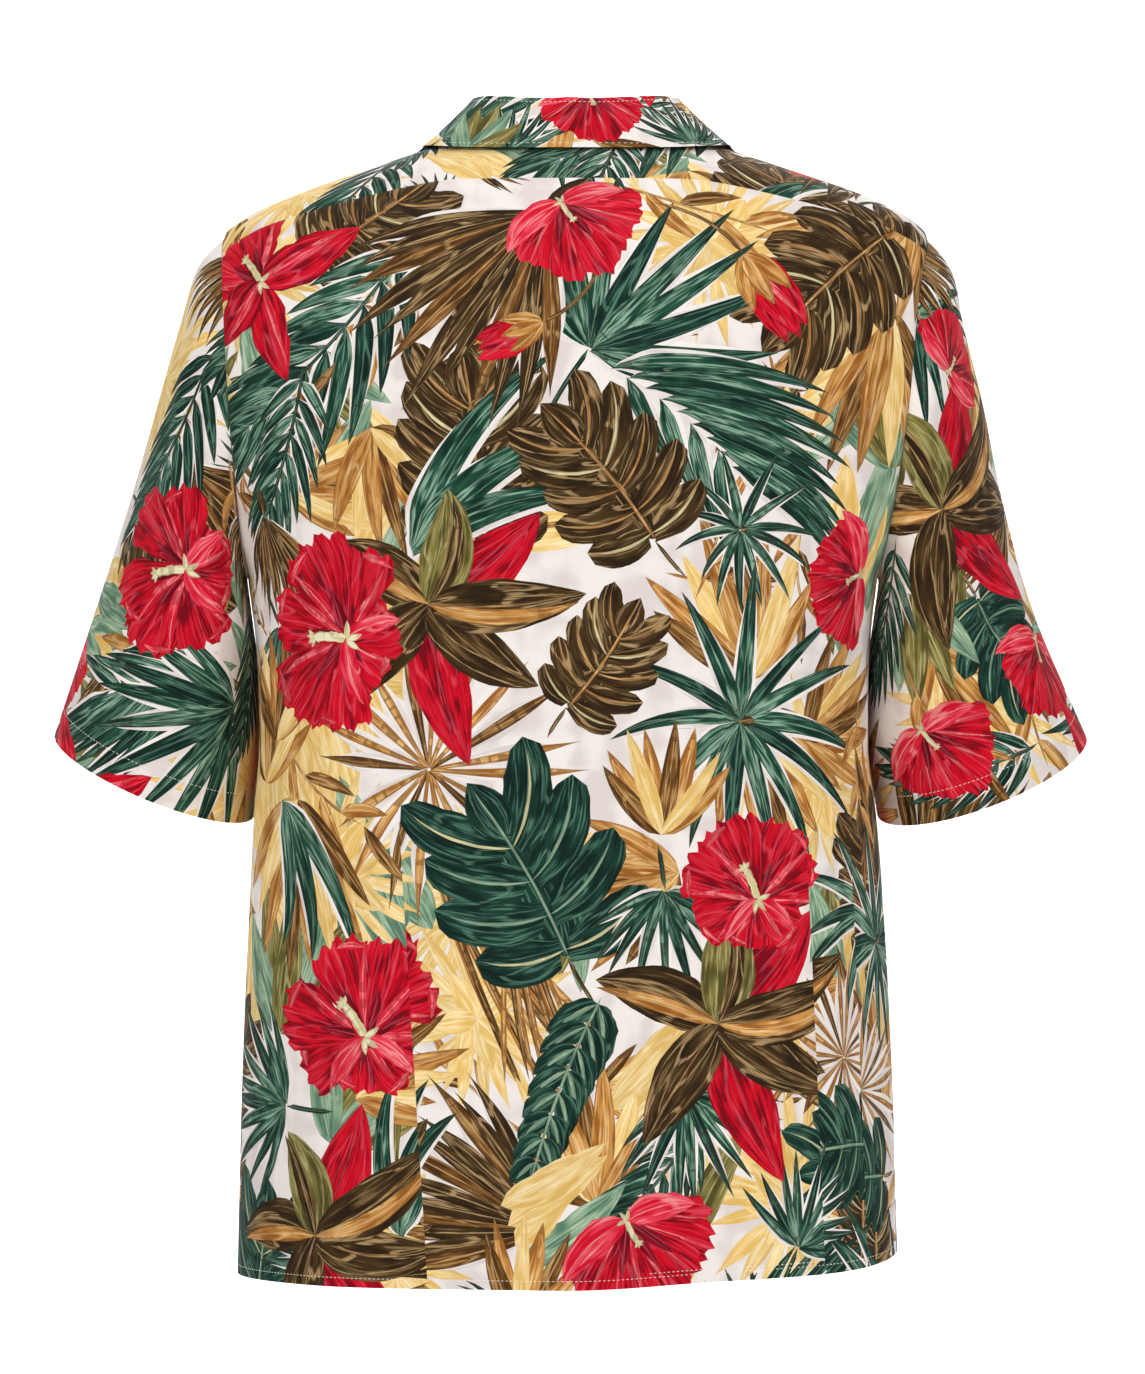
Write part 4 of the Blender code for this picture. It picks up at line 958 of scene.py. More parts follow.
# each motif of the print, the lowest first: its kind, its place, its size and which way it faces
LAYOUT: tuple[tuple[Callable, float, float, float, float], ...] = (
    # washes and suns, which lie lowest
    (P.sun, 90, -66, 84, 0), (P.wash, -190, -470, 130, 80), (P.wash, -130, -520, 120, 100),
    (P.sun, 166, -420, 84, 10), (P.sun, -164, -470, 80, 40), (P.sun, 236, -560, 90, 0),
    (P.wash, 214, -300, 100, 60), (P.sun, 150, -690, 92, 20), (P.wash, 40, -655, 90, 30),
    (P.wash, 232, -600, 130, 80), (P.sun, -395, -150, 90, 10), (P.sun, 376, -366, 92, 40),
    (P.wash, -232, -200, 100, 100), (P.wash, 395, -210, 100, 80), (P.sun, -60, -570, 76, 30),
    (P.wash, -400, -330, 90, 140), (P.sun, 30, -790, 90, 5), (P.wash, -300, -600, 120, 60),
    (P.sun, 330, -600, 90, 25), (P.wash, 200, -150, 80, 200), (P.ribbon, -84, -262, 128, 2),
    (P.soft, 224, -214, 100, 100), (P.soft, -214, -570, 110, 80), (P.soft, -168, -640, 100, 50),
    (P.soft, 300, -240, 90, 120), (P.trunk, 92, -572, 90, 76), (P.trunk, -126, -650, 80, 92),
    (P.trunk, 62, -730, 96, 56), (P.trunk, 350, -350, 96, 84), (P.soft, -180, -140, 90, -70),
    (P.wash, -150, -260, 90, 30),
    # ochre
    (P.grass, 120, -352, 110, 100), (P.grass, 118, -372, 110, -70), (P.grass, 160, -392, 105, 20),
    (P.rays, -92, -410, 112, 8), (P.reeds, -88, -470, 190, -62), (P.reeds, -40, -490, 150, -80),
    (P.grass, 196, -60, 100, -140), (P.grass, 214, -110, 120, -112), (P.spray, -12, -106, 70, -30),
    (P.spray, 20, -20, 120, -20), (P.grass, 222, -640, 120, 110), (P.grass, 200, -560, 100, -120),
    (P.spray, -212, -380, 100, -60), (P.grass, -190, -430, 110, -100), (P.grass, -230, -420, 90, 80),
    (P.spray, -250, -180, 120, -80), (P.grass, -190, -230, 80, 10), (P.grass, 70, -476, 100, 190),
    (P.grass, 16, -690, 100, 100), (P.spray, 140, -690, 110, -10), (P.grass, -20, -130, 80, 200),
    (P.spray, 80, -300, 90, 60), (P.grass, -130, -190, 90, -70), (P.grass, -420, -290, 90, 30),
    (P.spray, -360, -330, 120, -170), (P.grass, 410, -120, 100, -80), (P.spray, 420, -300, 120, -110),
    (P.grass, 340, -330, 90, -60), (P.spray, 330, -60, 110, -70), (P.grass, -330, -520, 100, 60),
    (P.spray, -60, -90, 100, 200), (P.grass, 260, -30, 110, -100), (P.spray, 300, -700, 120, 110),
    (P.spray, 390, -540, 130, -80), (P.grass, -350, -700, 110, 30), (P.grass, 240, -470, 100, 60),
    (P.grass, -150, -610, 90, 30), (P.rays, 196, -610, 80, 20),
    # brown
    (P.brown_split, -62, -262, 122, 86), (P.brown_split, -170, -76, 100, 30),
    (P.brown_split, 216, -58, 118, -146), (P.brown_palm, -16, -706, 140, 152),
    (P.brown_palm, -384, -330, 90, -110), (P.brown_split, 210, -744, 64, 80),
    (P.brown_palm, 430, -230, 110, 200), (P.brown_split, -404, -240, 100, -30),
    (P.brown_palm, 330, -500, 120, 60), (P.brown_split, -340, -640, 120, 40),
    (P.brown_palm, -440, -760, 120, 20), (P.brown_split, 250, -540, 110, 100),
    (P.brown_palm, -350, -210, 90, -60),
    # green
    (P.frond, -104, -66, 170, -122), (P.spray, -196, -246, 80, 70), (P.palm, 12, -140, 140, 52),
    (P.comb, 14, -146, 184, -24), (P.arcs, -104, -272, 165, 62), (P.star, 110, -256, 62, 12),
    (P.star, 111, -379, 118, 0), (P.star, 226, -516, 92, 30), (P.green_split, -2, -530, 122, 112),
    (P.twig, 20, -556, 130, -118), (P.palm, 60, -488, 76, -88), (P.frond, 84, -636, 96, -120),
    (P.palm, -206, -616, 100, 170), (P.green_split, 226, -668, 74, 176), (P.comb, -324, -330, 150, -146),
    (P.palm, -318, -376, 120, -168), (P.frond, -330, -130, 130, -110),
    (P.green_split, 372, -300, 76, -60), (P.palm, 330, -110, 100, -60), (P.frond, 412, -400, 100, 200),
    (P.palm, 0, -772, 110, -30), (P.frond, 60, -820, 140, 40), (P.green_split, -250, -790, 120, 70),
    (P.palm, 260, -800, 130, 140), (P.star, 380, -690, 100, 10), (P.star, -360, -560, 90, 0),
    (P.arcs, -120, -700, 110, 100), (P.arcs, -206, -430, 110, -50), (P.palm, 330, -600, 100, 60),
    (P.palm, 76, -620, 80, -80), (P.palm, 150, -720, 70, 60), (P.palm, -150, -722, 90, -160),
    (P.grass, 58, -452, 84, 84), (P.spray, -318, -206, 90, -84), (P.soft, -314, -262, 66, -70),
    (P.soft, 324, -296, 84, -88), (P.spray, 322, -344, 84, -76), (P.wash, -36, -716, 80, 20),
    (P.grass, -34, -770, 80, 62), (P.frond, -176, -150, 104, -98), (P.palm, 372, -604, 46, 104),
    (P.soft, 352, -610, 50, 84), (P.frond, 436, -566, 60, -24), (P.palm, 462, -604, 46, 70),
    (P.bell, 413, -556, 58, -88), (P.brown_palm, -212, -246, 76, -84), (P.palm, -212, -318, 70, -70),
    (P.grass, -216, -392, 84, 82), (P.spray, 222, -362, 90, 250), (P.frond, 308, -262, 100, -94),
    (P.brown_palm, -332, -52, 86, -112), (P.brown_palm, -296, -232, 84, -84),
    (P.frond, -288, -316, 84, -94), (P.frond, -300, -60, 90, -96), (P.brown_palm, 338, -46, 92, -62),
    # brown leaves over the green
    (P.brown_palm, -16, -46, 168, -134), (P.brown_split, 54, -262, 108, 122),
    (P.brown_split, -2, -370, 80, 48),
    # crimson
    (P.star_leaf, -92, -304, 96, -6), (P.star_leaf, 96, -574, 100, 4), (P.star_leaf, -180, -700, 96, 24),
    (P.star_leaf, 342, -240, 96, 36), (P.star_leaf, 420, -740, 96, 70),
    (P.star_leaf, -420, -480, 94, -50), (P.bud, -18, -122, 48, -158), (P.bud, 112, -76, 66, -56),
    (P.bud, 436, -96, 64, -80), (P.bell, -6, -38, 86, -62), (P.lily, -210, -92, 96, 0),
    (P.bloom, -150, -326, 112, 152), (P.bell, 212, -284, 84, 196), (P.bloom, 122, -494, 90, 96),
    (P.bloom, -144, -570, 108, 100), (P.bell, 36, -700, 96, -64), (P.bloom, -352, -280, 104, 176),
    (P.bell, 332, -388, 80, -50), (P.bell, 350, -150, 70, 40), (P.bloom, 300, -760, 104, 0),
    (P.lily, -330, -800, 100, 60), (P.bell, 436, -330, 84, -100), (P.lily, -440, -440, 90, 90),
)


@dataclass
class Bolt:
    """The printed cloth before it is cut: the motifs, repeating both ways."""

    width: float = 920.0
    height: float = 830.0
    seed: int = 11
    strokes: list[Stroke] = field(init=False)
    outlines: list[Array] = field(init=False)

    def __post_init__(self) -> None:
        """Paint small leaves all over, then every motif of the layout."""
        painter = Painter(self.seed)
        rng = painter.rng
        for kinds, count, least, most in (
                ((P.wash, P.sun, P.ribbon), 12, 60.0, 100.0),
                ((P.grass, P.spray, P.spray, P.soft, P.reeds), 46, 40.0, 78.0),
                ((P.palm, P.grass, P.brown_palm, P.arcs, P.spray), 10, 50.0, 80.0)):
            for _ in range(count):
                kind = kinds[int(rng.integers(len(kinds)))]
                spans = ((0, self.width), (-self.height, 0), (least, most), (0, 360))
                kind(painter, Place(*(float(rng.uniform(*span)) for span in spans)))
        for kind, *place in LAYOUT:
            kind(painter, Place(*place))
        self.strokes = self.filling(painter.strokes) + painter.strokes
        self.outlines = [stroke.outline() for stroke in self.strokes]

    def filling(self, painted: list[Stroke]) -> list[Stroke]:
        """Paint motifs for the places where much of the cloth is bare.

        Args:
            painted: the strokes that the cloth has.

        Returns:
            The strokes of the new motifs, which go under the others.
        """
        low = Painter(self.seed + 1)
        whole = np.array((self.width, self.height))
        cell = whole / (whole / 4.0).astype(int)
        covered = np.zeros(np.rint(whole / cell).astype(int)[::-1])
        ways = np.indices(covered.shape)
        away = [np.minimum(w, n - w) * step for w, n, step in zip(ways, covered.shape, cell[::-1])]
        sheets = ((38.0, (P.bloom, P.palm, P.brown_split, P.star_leaf, P.frond)),
                  (25.0, (P.bell, P.palm, P.brown_palm, P.star, P.frond, P.soft)),
                  (15.0, (P.palm, P.grass, P.spray, P.soft, P.brown_palm, P.sun, P.arcs)))
        self.cover(covered, cell, painted)
        for reach, kinds in sheets:
            disc = np.fft.rfft2(np.hypot(*away) < reach)
            for _ in range(60):
                free = np.argwhere(np.fft.irfft2(np.fft.rfft2(covered) * disc, covered.shape) < 0.5)
                if not len(free):
                    break
                middle = free[int(low.rng.integers(len(free)))][::-1] * cell
                turn, size = float(low.rng.uniform(0.0, TURN)), low.about(reach * 2.3)
                foot = middle - 0.5 * size * np.array((math.cos(turn), math.sin(turn)))
                first = len(low.strokes)
                kind = kinds[int(low.rng.integers(len(kinds)))]
                kind(low, Place(*foot, size, math.degrees(turn)))
                self.cover(covered, cell, low.strokes[first:])
        return low.strokes

    def cover(self, covered: Array, cell: Array, strokes: Iterable[Stroke]) -> None:
        """Mark which cells of the cloth strokes paint, or leave bare.

        Args:
            covered: one value for each cell, which is changed.
            cell: a cell's size.
            strokes: the strokes, the lowest first.
        """
        for stroke in strokes:
            ring = stroke.outline()
            start = np.floor(ring.min(axis=0) / cell).astype(int)
            end = np.ceil(ring.max(axis=0) / cell).astype(int) + 1
            columns, rows = np.arange(start[0], end[0]), np.arange(start[1], end[1])
            spots = np.stack(np.meshgrid(columns * cell[0], rows * cell[1]), -1).reshape(-1, 2)
            hit = inside(ring, spots).reshape(len(rows), len(columns))
            block = np.ix_(rows % covered.shape[0], columns % covered.shape[1])
            covered[block] = np.where(hit, stroke.paint is not Paint.IVORY, covered[block])

    def over(self, low: Array, high: Array) -> Iterable[tuple[Stroke, Array, Array]]:
        """Yield each stroke whose repeats reach into a region, with outline and shift."""
        for stroke, ring in zip(self.strokes, self.outlines):
            lo, hi = ring.min(axis=0), ring.max(axis=0)
            first = np.ceil((low - hi) / (self.width, self.height)).astype(int)
            last = np.floor((high - lo) / (self.width, self.height)).astype(int)
            for across in range(first[0], last[0] + 1):
                for up in range(first[1], last[1] + 1):
                    shift = np.array((across * self.width, up * self.height))
                    yield stroke, ring + shift, shift


# ---- the cloth

def flatten(grid: Array, start: Array, rounds: int = 160) -> Array:
    """Lay a curved piece flat with as little stretch as can be.

    Args:
        grid: points of the piece, rows by columns by three, in metres.
        start: a first flat layout, rows by columns by two, which turns nothing over.
        rounds: how often it is relaxed.

    Returns:
        The flat layout in metres, of the grid's own size.
    """
    rows = np.unique(np.linspace(0, grid.shape[0] - 1, 24).astype(int))
    columns = np.unique(np.linspace(0, grid.shape[1] - 1, 46).astype(int))
    solid = grid[np.ix_(rows, columns)].reshape(-1, 3)
    flat = start[np.ix_(rows, columns)].reshape(-1, 2)
    faces = grid_cells(len(rows), len(columns), ("abc", "acd", "abd", "bcd"))
    p0, p1, p2 = (solid[faces[:, k]] for k in range(3))
    along = unit(p1 - p0)
    normal = unit(np.cross(p1 - p0, p2 - p0))
    aside = np.cross(normal, along)
    local = np.stack([np.stack(((p - p0) * along, (p - p0) * aside), -1).sum(axis=1)
                      for p in (p0, p1, p2)], 1)
    weights = np.zeros((len(faces), 3))
    for k in range(3):
        u = local[:, (k + 1) % 3] - local[:, k]
        v = local[:, (k + 2) % 3] - local[:, k]
        cotangent = (u * v).sum(axis=1) / np.maximum(np.abs(cross(u, v)), 1e-12)
        weights[:, (k + 1) % 3] = np.clip(cotangent, 0.02, 20.0)
    matrix = np.zeros((len(solid), len(solid)))
    for k in range(3):
        i, j, w = faces[:, (k + 1) % 3], faces[:, (k + 2) % 3], weights[:, (k + 1) % 3]
        for row, column, sign in ((i, i, 1.0), (j, j, 1.0), (i, j, -1.0), (j, i, -1.0)):
            np.add.at(matrix, (row, column), sign * w)
    matrix[0, 0] += 1.0
    inverse = np.linalg.inv(matrix)
    for _ in range(rounds):
        turn_cos, turn_sin = np.zeros(len(faces)), np.zeros(len(faces))
        for k in range(3):
            e = local[:, (k + 2) % 3] - local[:, (k + 1) % 3]
            f = flat[faces[:, (k + 2) % 3]] - flat[faces[:, (k + 1) % 3]]
            w = weights[:, (k + 1) % 3]
            turn_cos += w * (e * f).sum(axis=1)
            turn_sin += w * cross(e, f)
        size = np.maximum(np.hypot(turn_cos, turn_sin), 1e-12)
        cosine, sine = turn_cos / size, turn_sin / size
        goal = np.zeros_like(flat)
        for k in range(3):
            e = local[:, (k + 2) % 3] - local[:, (k + 1) % 3]
            w = weights[:, (k + 1) % 3]
            f = np.stack((cosine * e[:, 0] - sine * e[:, 1], sine * e[:, 0] + cosine * e[:, 1]), -1)
            np.add.at(goal, faces[:, (k + 2) % 3], w[:, None] * f)
            np.add.at(goal, faces[:, (k + 1) % 3], -w[:, None] * f)
        flat = inverse @ goal
    flat = flat.reshape(len(rows), len(columns), 2)
    all_rows, all_columns = np.arange(grid.shape[0]), np.arange(grid.shape[1])
    wide = np.stack([on_line(row, columns, all_columns) for row in flat], axis=1)
    return np.stack([on_line(column, rows, all_rows) for column in wide], axis=1)


def turned_to(flat: Array, goal: Array, mask: Array) -> Array:
    """Return a flat layout turned and moved to lie best on its goal where the mask is set."""
    here, there = flat[mask], goal[mask]
    from_mid, to_mid = here.mean(axis=0), there.mean(axis=0)
    u, v = here - from_mid, there - to_mid
    angle = math.atan2(float(cross(u, v).sum()), float((u * v).sum()))
    cosine, sine = math.cos(angle), math.sin(angle)
    moved = flat - from_mid
    return np.stack((cosine * moved[..., 0] - sine * moved[..., 1],
                     sine * moved[..., 0] + cosine * moved[..., 1]), -1) + to_mid


class Edge(Enum):
    """What becomes of a cut piece's side."""

    SEAM = "sewn to its neighbour"
    HEM = "turned under"
    FREE = "finished edge"


class Crease(NamedTuple):
    """A soft trough or ridge on the cloth, between two places, in millimetres."""

    x0: float
    y0: float
    x1: float
    y1: float
    width: float
    depth: float


class Break(NamedTuple):
    """A line down the cloth, from top to bottom, beyond which the print has slipped."""

    x0: float
    y0: float
    x1: float
    y1: float
    side: float
    slip_x: float
    slip_y: float

    def beyond(self, spots: Array) -> Array:
        """Return which places lie beyond the line."""
        at = self.x0 + (self.x1 - self.x0) * (spots[:, 1] - self.y0) / (self.y1 - self.y0)
        return ((spots[:, 0] - at) * self.side > 0.0) & (spots[:, 1] < self.y0)

    def slip(self, spots: Array) -> Array:
        """Return how far the print has slipped at places beyond the line."""
        ramp = smooth_step((self.y0 - spots[:, 1]) / 90.0)
        return ramp[:, None] * np.array((self.slip_x, self.slip_y))

    def line(self) -> Array:
        """Return the line as points."""
        share = np.linspace(0.0, 1.0, 50)[:, None]
        return np.array((self.x0, self.y0)) * (1 - share) + np.array((self.x1, self.y1)) * share


class Shown(NamedTuple):
    """A printed stroke on a cut piece: its outline, its shift, and which break it lies beyond."""

    stroke: Stroke
    outline: Array
    move: Array
    zone: int


PRINT_MARGIN = 25.0
RASTER = 0.7
SEAM_DIP = 0.55
SEAM_REACH = 1.6


@dataclass
class Cloth:
    """One cut piece of printed cloth, as a fine sheet on its solid's form.

    grid holds points of its outer surface, rows upwards and columns to the right as it lies
    flat, and flat holds the same points on the flat cloth in millimetres. fold is how far to
    each side of the level 0 the cloth is rolled over, where it is.
    """

    name: str
    node: str
    grid: Array
    flat: Array
    print_shift: tuple[float, float]
    sides: tuple[Edge, Edge, Edge, Edge]
    creases: Sequence[Crease] = ()
    thickness: float = 0.0005
    pitch: float = 7.0
    breaks: Sequence[Break] = ()
    fold: float | None = None

    def __post_init__(self) -> None:
        """Measure the piece's directions and index its flat shape."""
        up, across = np.gradient(self.grid, axis=(0, 1))
        self.facing = unit(np.cross(across, up)).reshape(-1, 3)
        self.points = self.grid.reshape(-1, 3)
        self.places = self.flat.reshape(-1, 2)
        self.cells = grid_cells(*self.grid.shape[:2])
        spots = [Vector((x, y, 0.0)) for x, y in self.places]
        self.index = BVHTree.FromPolygons(spots, self.cells.tolist())
        self.lines = (self.flat[0], self.flat[:, -1], self.flat[-1, ::-1], self.flat[::-1, 0])

    def side_line(self, side: int, gap: float = 4.0) -> Array:
        """Return one side of the flat piece as points at about equal gaps."""
        runs = run_along(self.lines[side])
        count = max(2, int(round(runs[-1] / gap)) + 1)
        return on_line(self.lines[side], runs, np.linspace(0.0, runs[-1], count))

    def ring(self) -> Array:
        """Return the flat piece's outline, anticlockwise."""
        return np.concatenate([self.side_line(side)[:-1] for side in range(4)])

    def shoelace(self) -> float:
        """Return the flat piece's area in square metres."""
        ring = self.ring()
        return float(abs(np.sum(cross(ring, np.roll(ring, -1, axis=0)))) / 2.0) * MM * MM

    def relief(self, spots: Array) -> tuple[Array, Array]:
        """Return how far the cloth rises at flat places, and the slope of that, in millimetres."""
        height = np.zeros(len(spots))
        slope = np.zeros((len(spots), 2))
        for crease in self.creases:
            start = np.array((crease.x0, crease.y0))
            run = np.array((crease.x1, crease.y1)) - start
            length = float(np.linalg.norm(run))
            run = run / length
            away = spots - start
            along = away @ run / length
            side = np.array((-run[1], run[0]))
            bow = np.sin(math.pi * np.clip(along, 0.0, 1.0)) * length * 0.04
            off = away @ side - bow
            fade = smooth_step(np.minimum(along, 1.0 - along) * 3.0 + 0.02)
            bump = crease.depth * fade * np.exp(-(off / crease.width) ** 2)
            height += bump
            slope += (bump * -2.0 * off / crease.width ** 2)[:, None] * side
        for side, edge in enumerate(self.sides):
            if edge is Edge.SEAM:
                distance, way = self.from_side(spots, side)
                dip = -SEAM_DIP * np.exp(-(distance / SEAM_REACH) ** 2)
                height += dip
                slope += (dip * -2.0 * distance / SEAM_REACH ** 2)[:, None] * way
        return height, slope

    def from_side(self, spots: Array, side: int) -> tuple[Array, Array]:
        """Return the distance of flat places from one side, and the way from it to them."""
        line = self.side_line(side, 8.0)
        start, run = line[:-1], np.diff(line, axis=0)
        square = np.maximum((run ** 2).sum(axis=1), 1e-9)
        best = np.full(len(spots), 1e9)
        way = np.zeros((len(spots), 2))
        for first in range(0, len(start), 64):
            s, r, q = start[first:first + 64], run[first:first + 64], square[first:first + 64]
            away = spots[:, None, :] - s[None]
            share = np.clip((away * r[None]).sum(-1) / q, 0.0, 1.0)
            rest = away - share[..., None] * r[None]
            gap = np.hypot(rest[..., 0], rest[..., 1])
            nearest = gap.argmin(axis=1)
            rows = np.arange(len(spots))
            closer = gap[rows, nearest] < best
            best[closer] = gap[rows, nearest][closer]
            way[closer] = rest[rows, nearest][closer]
        return best, way / np.maximum(best, 1e-6)[:, None]

    def lift(self, spots: Array) -> tuple[Array, Array]:
        """Place flat points on the worn piece.

        Args:
            spots: places on the flat cloth, in millimetres.

        Returns:
            Points in metres, and the directions straight out of the cloth there.
        """
        found = [self.index.find_nearest((x, y, 0.0))[2] for x, y in spots.tolist()]
        corners = self.cells[np.array(found)]
        a, b, c = (self.places[corners[:, k]] for k in range(3))
        ab, ac, ap = b - a, c - a, spots - a
        area = cross(ab, ac)
        area = np.where(np.abs(area) < 1e-9, 1e-9, area)
        wb = np.clip(cross(ap, ac) / area, -0.2, 1.2)
        wc = np.clip(cross(ab, ap) / area, -0.2, 1.2)
        weights = np.stack((1.0 - wb - wc, wb, wc), -1)
        place = (self.points[corners] * weights[..., None]).sum(axis=1)
        normal = unit((self.facing[corners] * weights[..., None]).sum(axis=1))
        edge_b = self.points[corners[:, 1]] - self.points[corners[:, 0]]
        edge_c = self.points[corners[:, 2]] - self.points[corners[:, 0]]
        along_x = (edge_b * ac[:, 1:2] - edge_c * ab[:, 1:2]) / area[:, None]
        along_y = (edge_c * ab[:, 0:1] - edge_b * ac[:, 0:1]) / area[:, None]
        height, slope = self.relief(spots)
        tilt = slope[:, 0:1] * unit(along_x) + slope[:, 1:2] * unit(along_y)
        return place + normal * (height * MM)[:, None], unit(normal - tilt)

    def shown(self, bolt: Bolt, ring: Array) -> list[Shown]:
        """Return the printed strokes that reach the piece, in each of its zones, lowest first."""
        shift = np.array(self.print_shift)
        low, high = ring.min(axis=0) + shift - PRINT_MARGIN, ring.max(axis=0) + shift + PRINT_MARGIN
        shown = [Shown(stroke, outline - shift, move - shift, -1)
                 for stroke, outline, move in bolt.over(low, high)]
        for zone, crack in enumerate(self.breaks):
            for stroke, outline, move, _ in [entry for entry in shown if entry.zone < 0]:
                outline = outline + crack.slip(outline)
                if crack.beyond(outline).any():
                    shown.append(Shown(stroke, outline, move, zone))
        return shown

    def seen_edges(self, ring: Array, shown: Sequence[Shown]) -> Iterable[tuple[Array, Array]]:
        """Yield the outline of each stroke that isn't covered, and which of its edges show.

        Args:
            ring: the piece's outline.
            shown: the strokes on it, the lowest first.
        """
        low, high = ring.min(axis=0), ring.max(axis=0)
        counts = np.ceil((high - low) / RASTER).astype(int) + 3
        xs, ys = (low[k] + (np.arange(counts[k]) - 0.5) * RASTER for k in (0, 1))
        grid = np.stack(np.meshgrid(xs, ys), -1)
        shape = grid.shape[:2]
        zones = self.zone(grid.reshape(-1, 2)).reshape(shape)
        top = np.full(shape, -1, np.int32)
        for number, (_, outline, _, zone) in enumerate(shown):
            c0, r0 = np.maximum(((outline.min(axis=0) - low) / RASTER).astype(int), 0)
            c1, r1 = np.minimum(((outline.max(axis=0) - low) / RASTER).astype(int) + 2, counts)
            if c1 <= c0 or r1 <= r0:
                continue
            here = grid[r0:r1, c0:c1]
            hit = inside(outline, here.reshape(-1, 2)).reshape(here.shape[:2])
            top[r0:r1, c0:c1][hit & (zones[r0:r1, c0:c1] == zone)] = number
        within = inside(ring, grid.reshape(-1, 2)).reshape(shape)
        near = within.copy()
        near[1:] |= within[:-1]
        near[:-1] |= within[1:]
        near[:, 1:] |= within[:, :-1]
        near[:, :-1] |= within[:, 1:]
        top[~near] = -2
        for number, (_, outline, _, _) in enumerate(shown):
            run = np.roll(outline, -1, axis=0) - outline
            seen = np.zeros(len(outline), bool)
            for share in (0.1, 0.37, 0.63, 0.9):
                spot = ((outline + run * share - low) / RASTER + 0.5).astype(int)
                column, row = np.clip(spot, 1, counts - 2).T
                for down in (-1, 0, 1):
                    for aside in (-1, 0, 1):
                        seen |= top[row + down, column + aside] == number
            if seen.any():
                yield outline, seen

    def owners(self, middle: Array, shown: Sequence[Shown]) -> Array:
        """Return which stroke covers each flat place, as its number, or -1 for bare cloth."""
        owner = np.full(len(middle), -1)
        order = np.argsort(middle[:, 0])
        zones = self.zone(middle)
        for number, (_, outline, _, zone) in enumerate(shown):
            low, high = outline.min(axis=0), outline.max(axis=0)
            first, last = np.searchsorted(middle[order, 0], (low[0], high[0]))
            near = order[first:last]
            y = middle[near, 1]
            near = near[(y >= low[1]) & (y <= high[1]) & (zones[near] == zone)]
            if len(near):
                owner[near[inside(outline, middle[near])]] = number
        return owner

    def cut(self, bolt: Bolt) -> tuple[Array, Array, Array, list[Shown]]:
        """Cut the piece from the bolt, along its own outline and every printed edge that shows.

        Args:
            bolt: the printed cloth.

        Returns:
            Flat places, triangles, the number of the stroke that each triangle shows, and the
            strokes.
        """
        ring = self.ring()
        shown = self.shown(bolt, ring)
        lines = [(ring, np.ones(len(ring), bool))]
        for crack in self.breaks:
            line = crack.line()
            line = line[inside(ring, line)]
            lines.append((line, np.arange(len(line)) < len(line) - 1))
        lines += self.seen_edges(ring, shown)
        edges, used = [], 0
        for line, seen in lines:
            here = np.arange(len(line))
            edges.append(np.stack((here, (here + 1) % len(line)), -1)[seen] + used)
            used += len(line)
        spots = np.concatenate([line for line, _ in lines])
        spots, edges = without_unused(spots, np.concatenate(edges))
        spots = np.concatenate((spots, self.filling(ring)))
        result = delaunay_2d_cdt([Vector(p) for p in spots.tolist()], edges.tolist(), [], 0, 1e-4, False)
        spots, triangles = np.array([tuple(v) for v in result[0]]), np.array(result[2])
        corners = spots[triangles]
        middle = corners.mean(axis=1)
        area = cross(corners[:, 1] - corners[:, 0], corners[:, 2] - corners[:, 0])
        triangles = np.where((area < 0)[:, None], triangles[:, ::-1], triangles)
        keep = inside(ring, middle) & (np.abs(area) > 1e-9)
        triangles, owner = triangles[keep], self.owners(middle[keep], shown)
        return *without_unused(spots, triangles), owner, shown

    def zone(self, spots: Array) -> Array:
        """Return which break each place lies beyond, or -1 for none."""
        result = np.full(len(spots), -1)
        for number, crack in enumerate(self.breaks):
            result[crack.beyond(spots)] = number
        return result

    def filling(self, ring: Array) -> Array:
        """Return places inside the outline that let the triangles follow the form."""
        low, high = ring.min(axis=0), ring.max(axis=0)
        xs = np.arange(low[0], high[0], self.pitch)
        ys = np.arange(low[1], high[1], self.pitch * 0.87)
        gx, gy = np.meshgrid(xs, ys)
        gx = gx + (np.arange(len(ys)) % 2)[:, None] * self.pitch / 2.0
        spots = np.stack((gx.ravel(), gy.ravel()), -1)
        spots = spots[inside(ring, spots)]
        if self.fold is not None:
            spots = spots[np.abs(spots[:, 1]) > self.fold + 1.0]
            rows = np.linspace(-self.fold, self.fold, 9)
            gx, gy = np.meshgrid(np.arange(low[0], high[0], 2.5), rows)
            spots = np.concatenate((spots, np.stack((gx.ravel(), gy.ravel()), -1)))
        parts = [spots]
        for side, edge in enumerate(self.sides):
            for depth in ((1.3, 3.4) if edge is Edge.SEAM else (2.5,)):
                parts.append(self.inset(side, depth, 4.0))
        spots = np.concatenate(parts)
        return spots[inside(ring, spots)]

    def inset(self, side: int, depth: float, gap: float) -> Array:
        """Return a line parallel to one side, inside the piece."""
        line = self.side_line(side, gap)
        run = unit(np.gradient(line, axis=0))
        return line + np.stack((-run[:, 1], run[:, 0]), -1) * depth

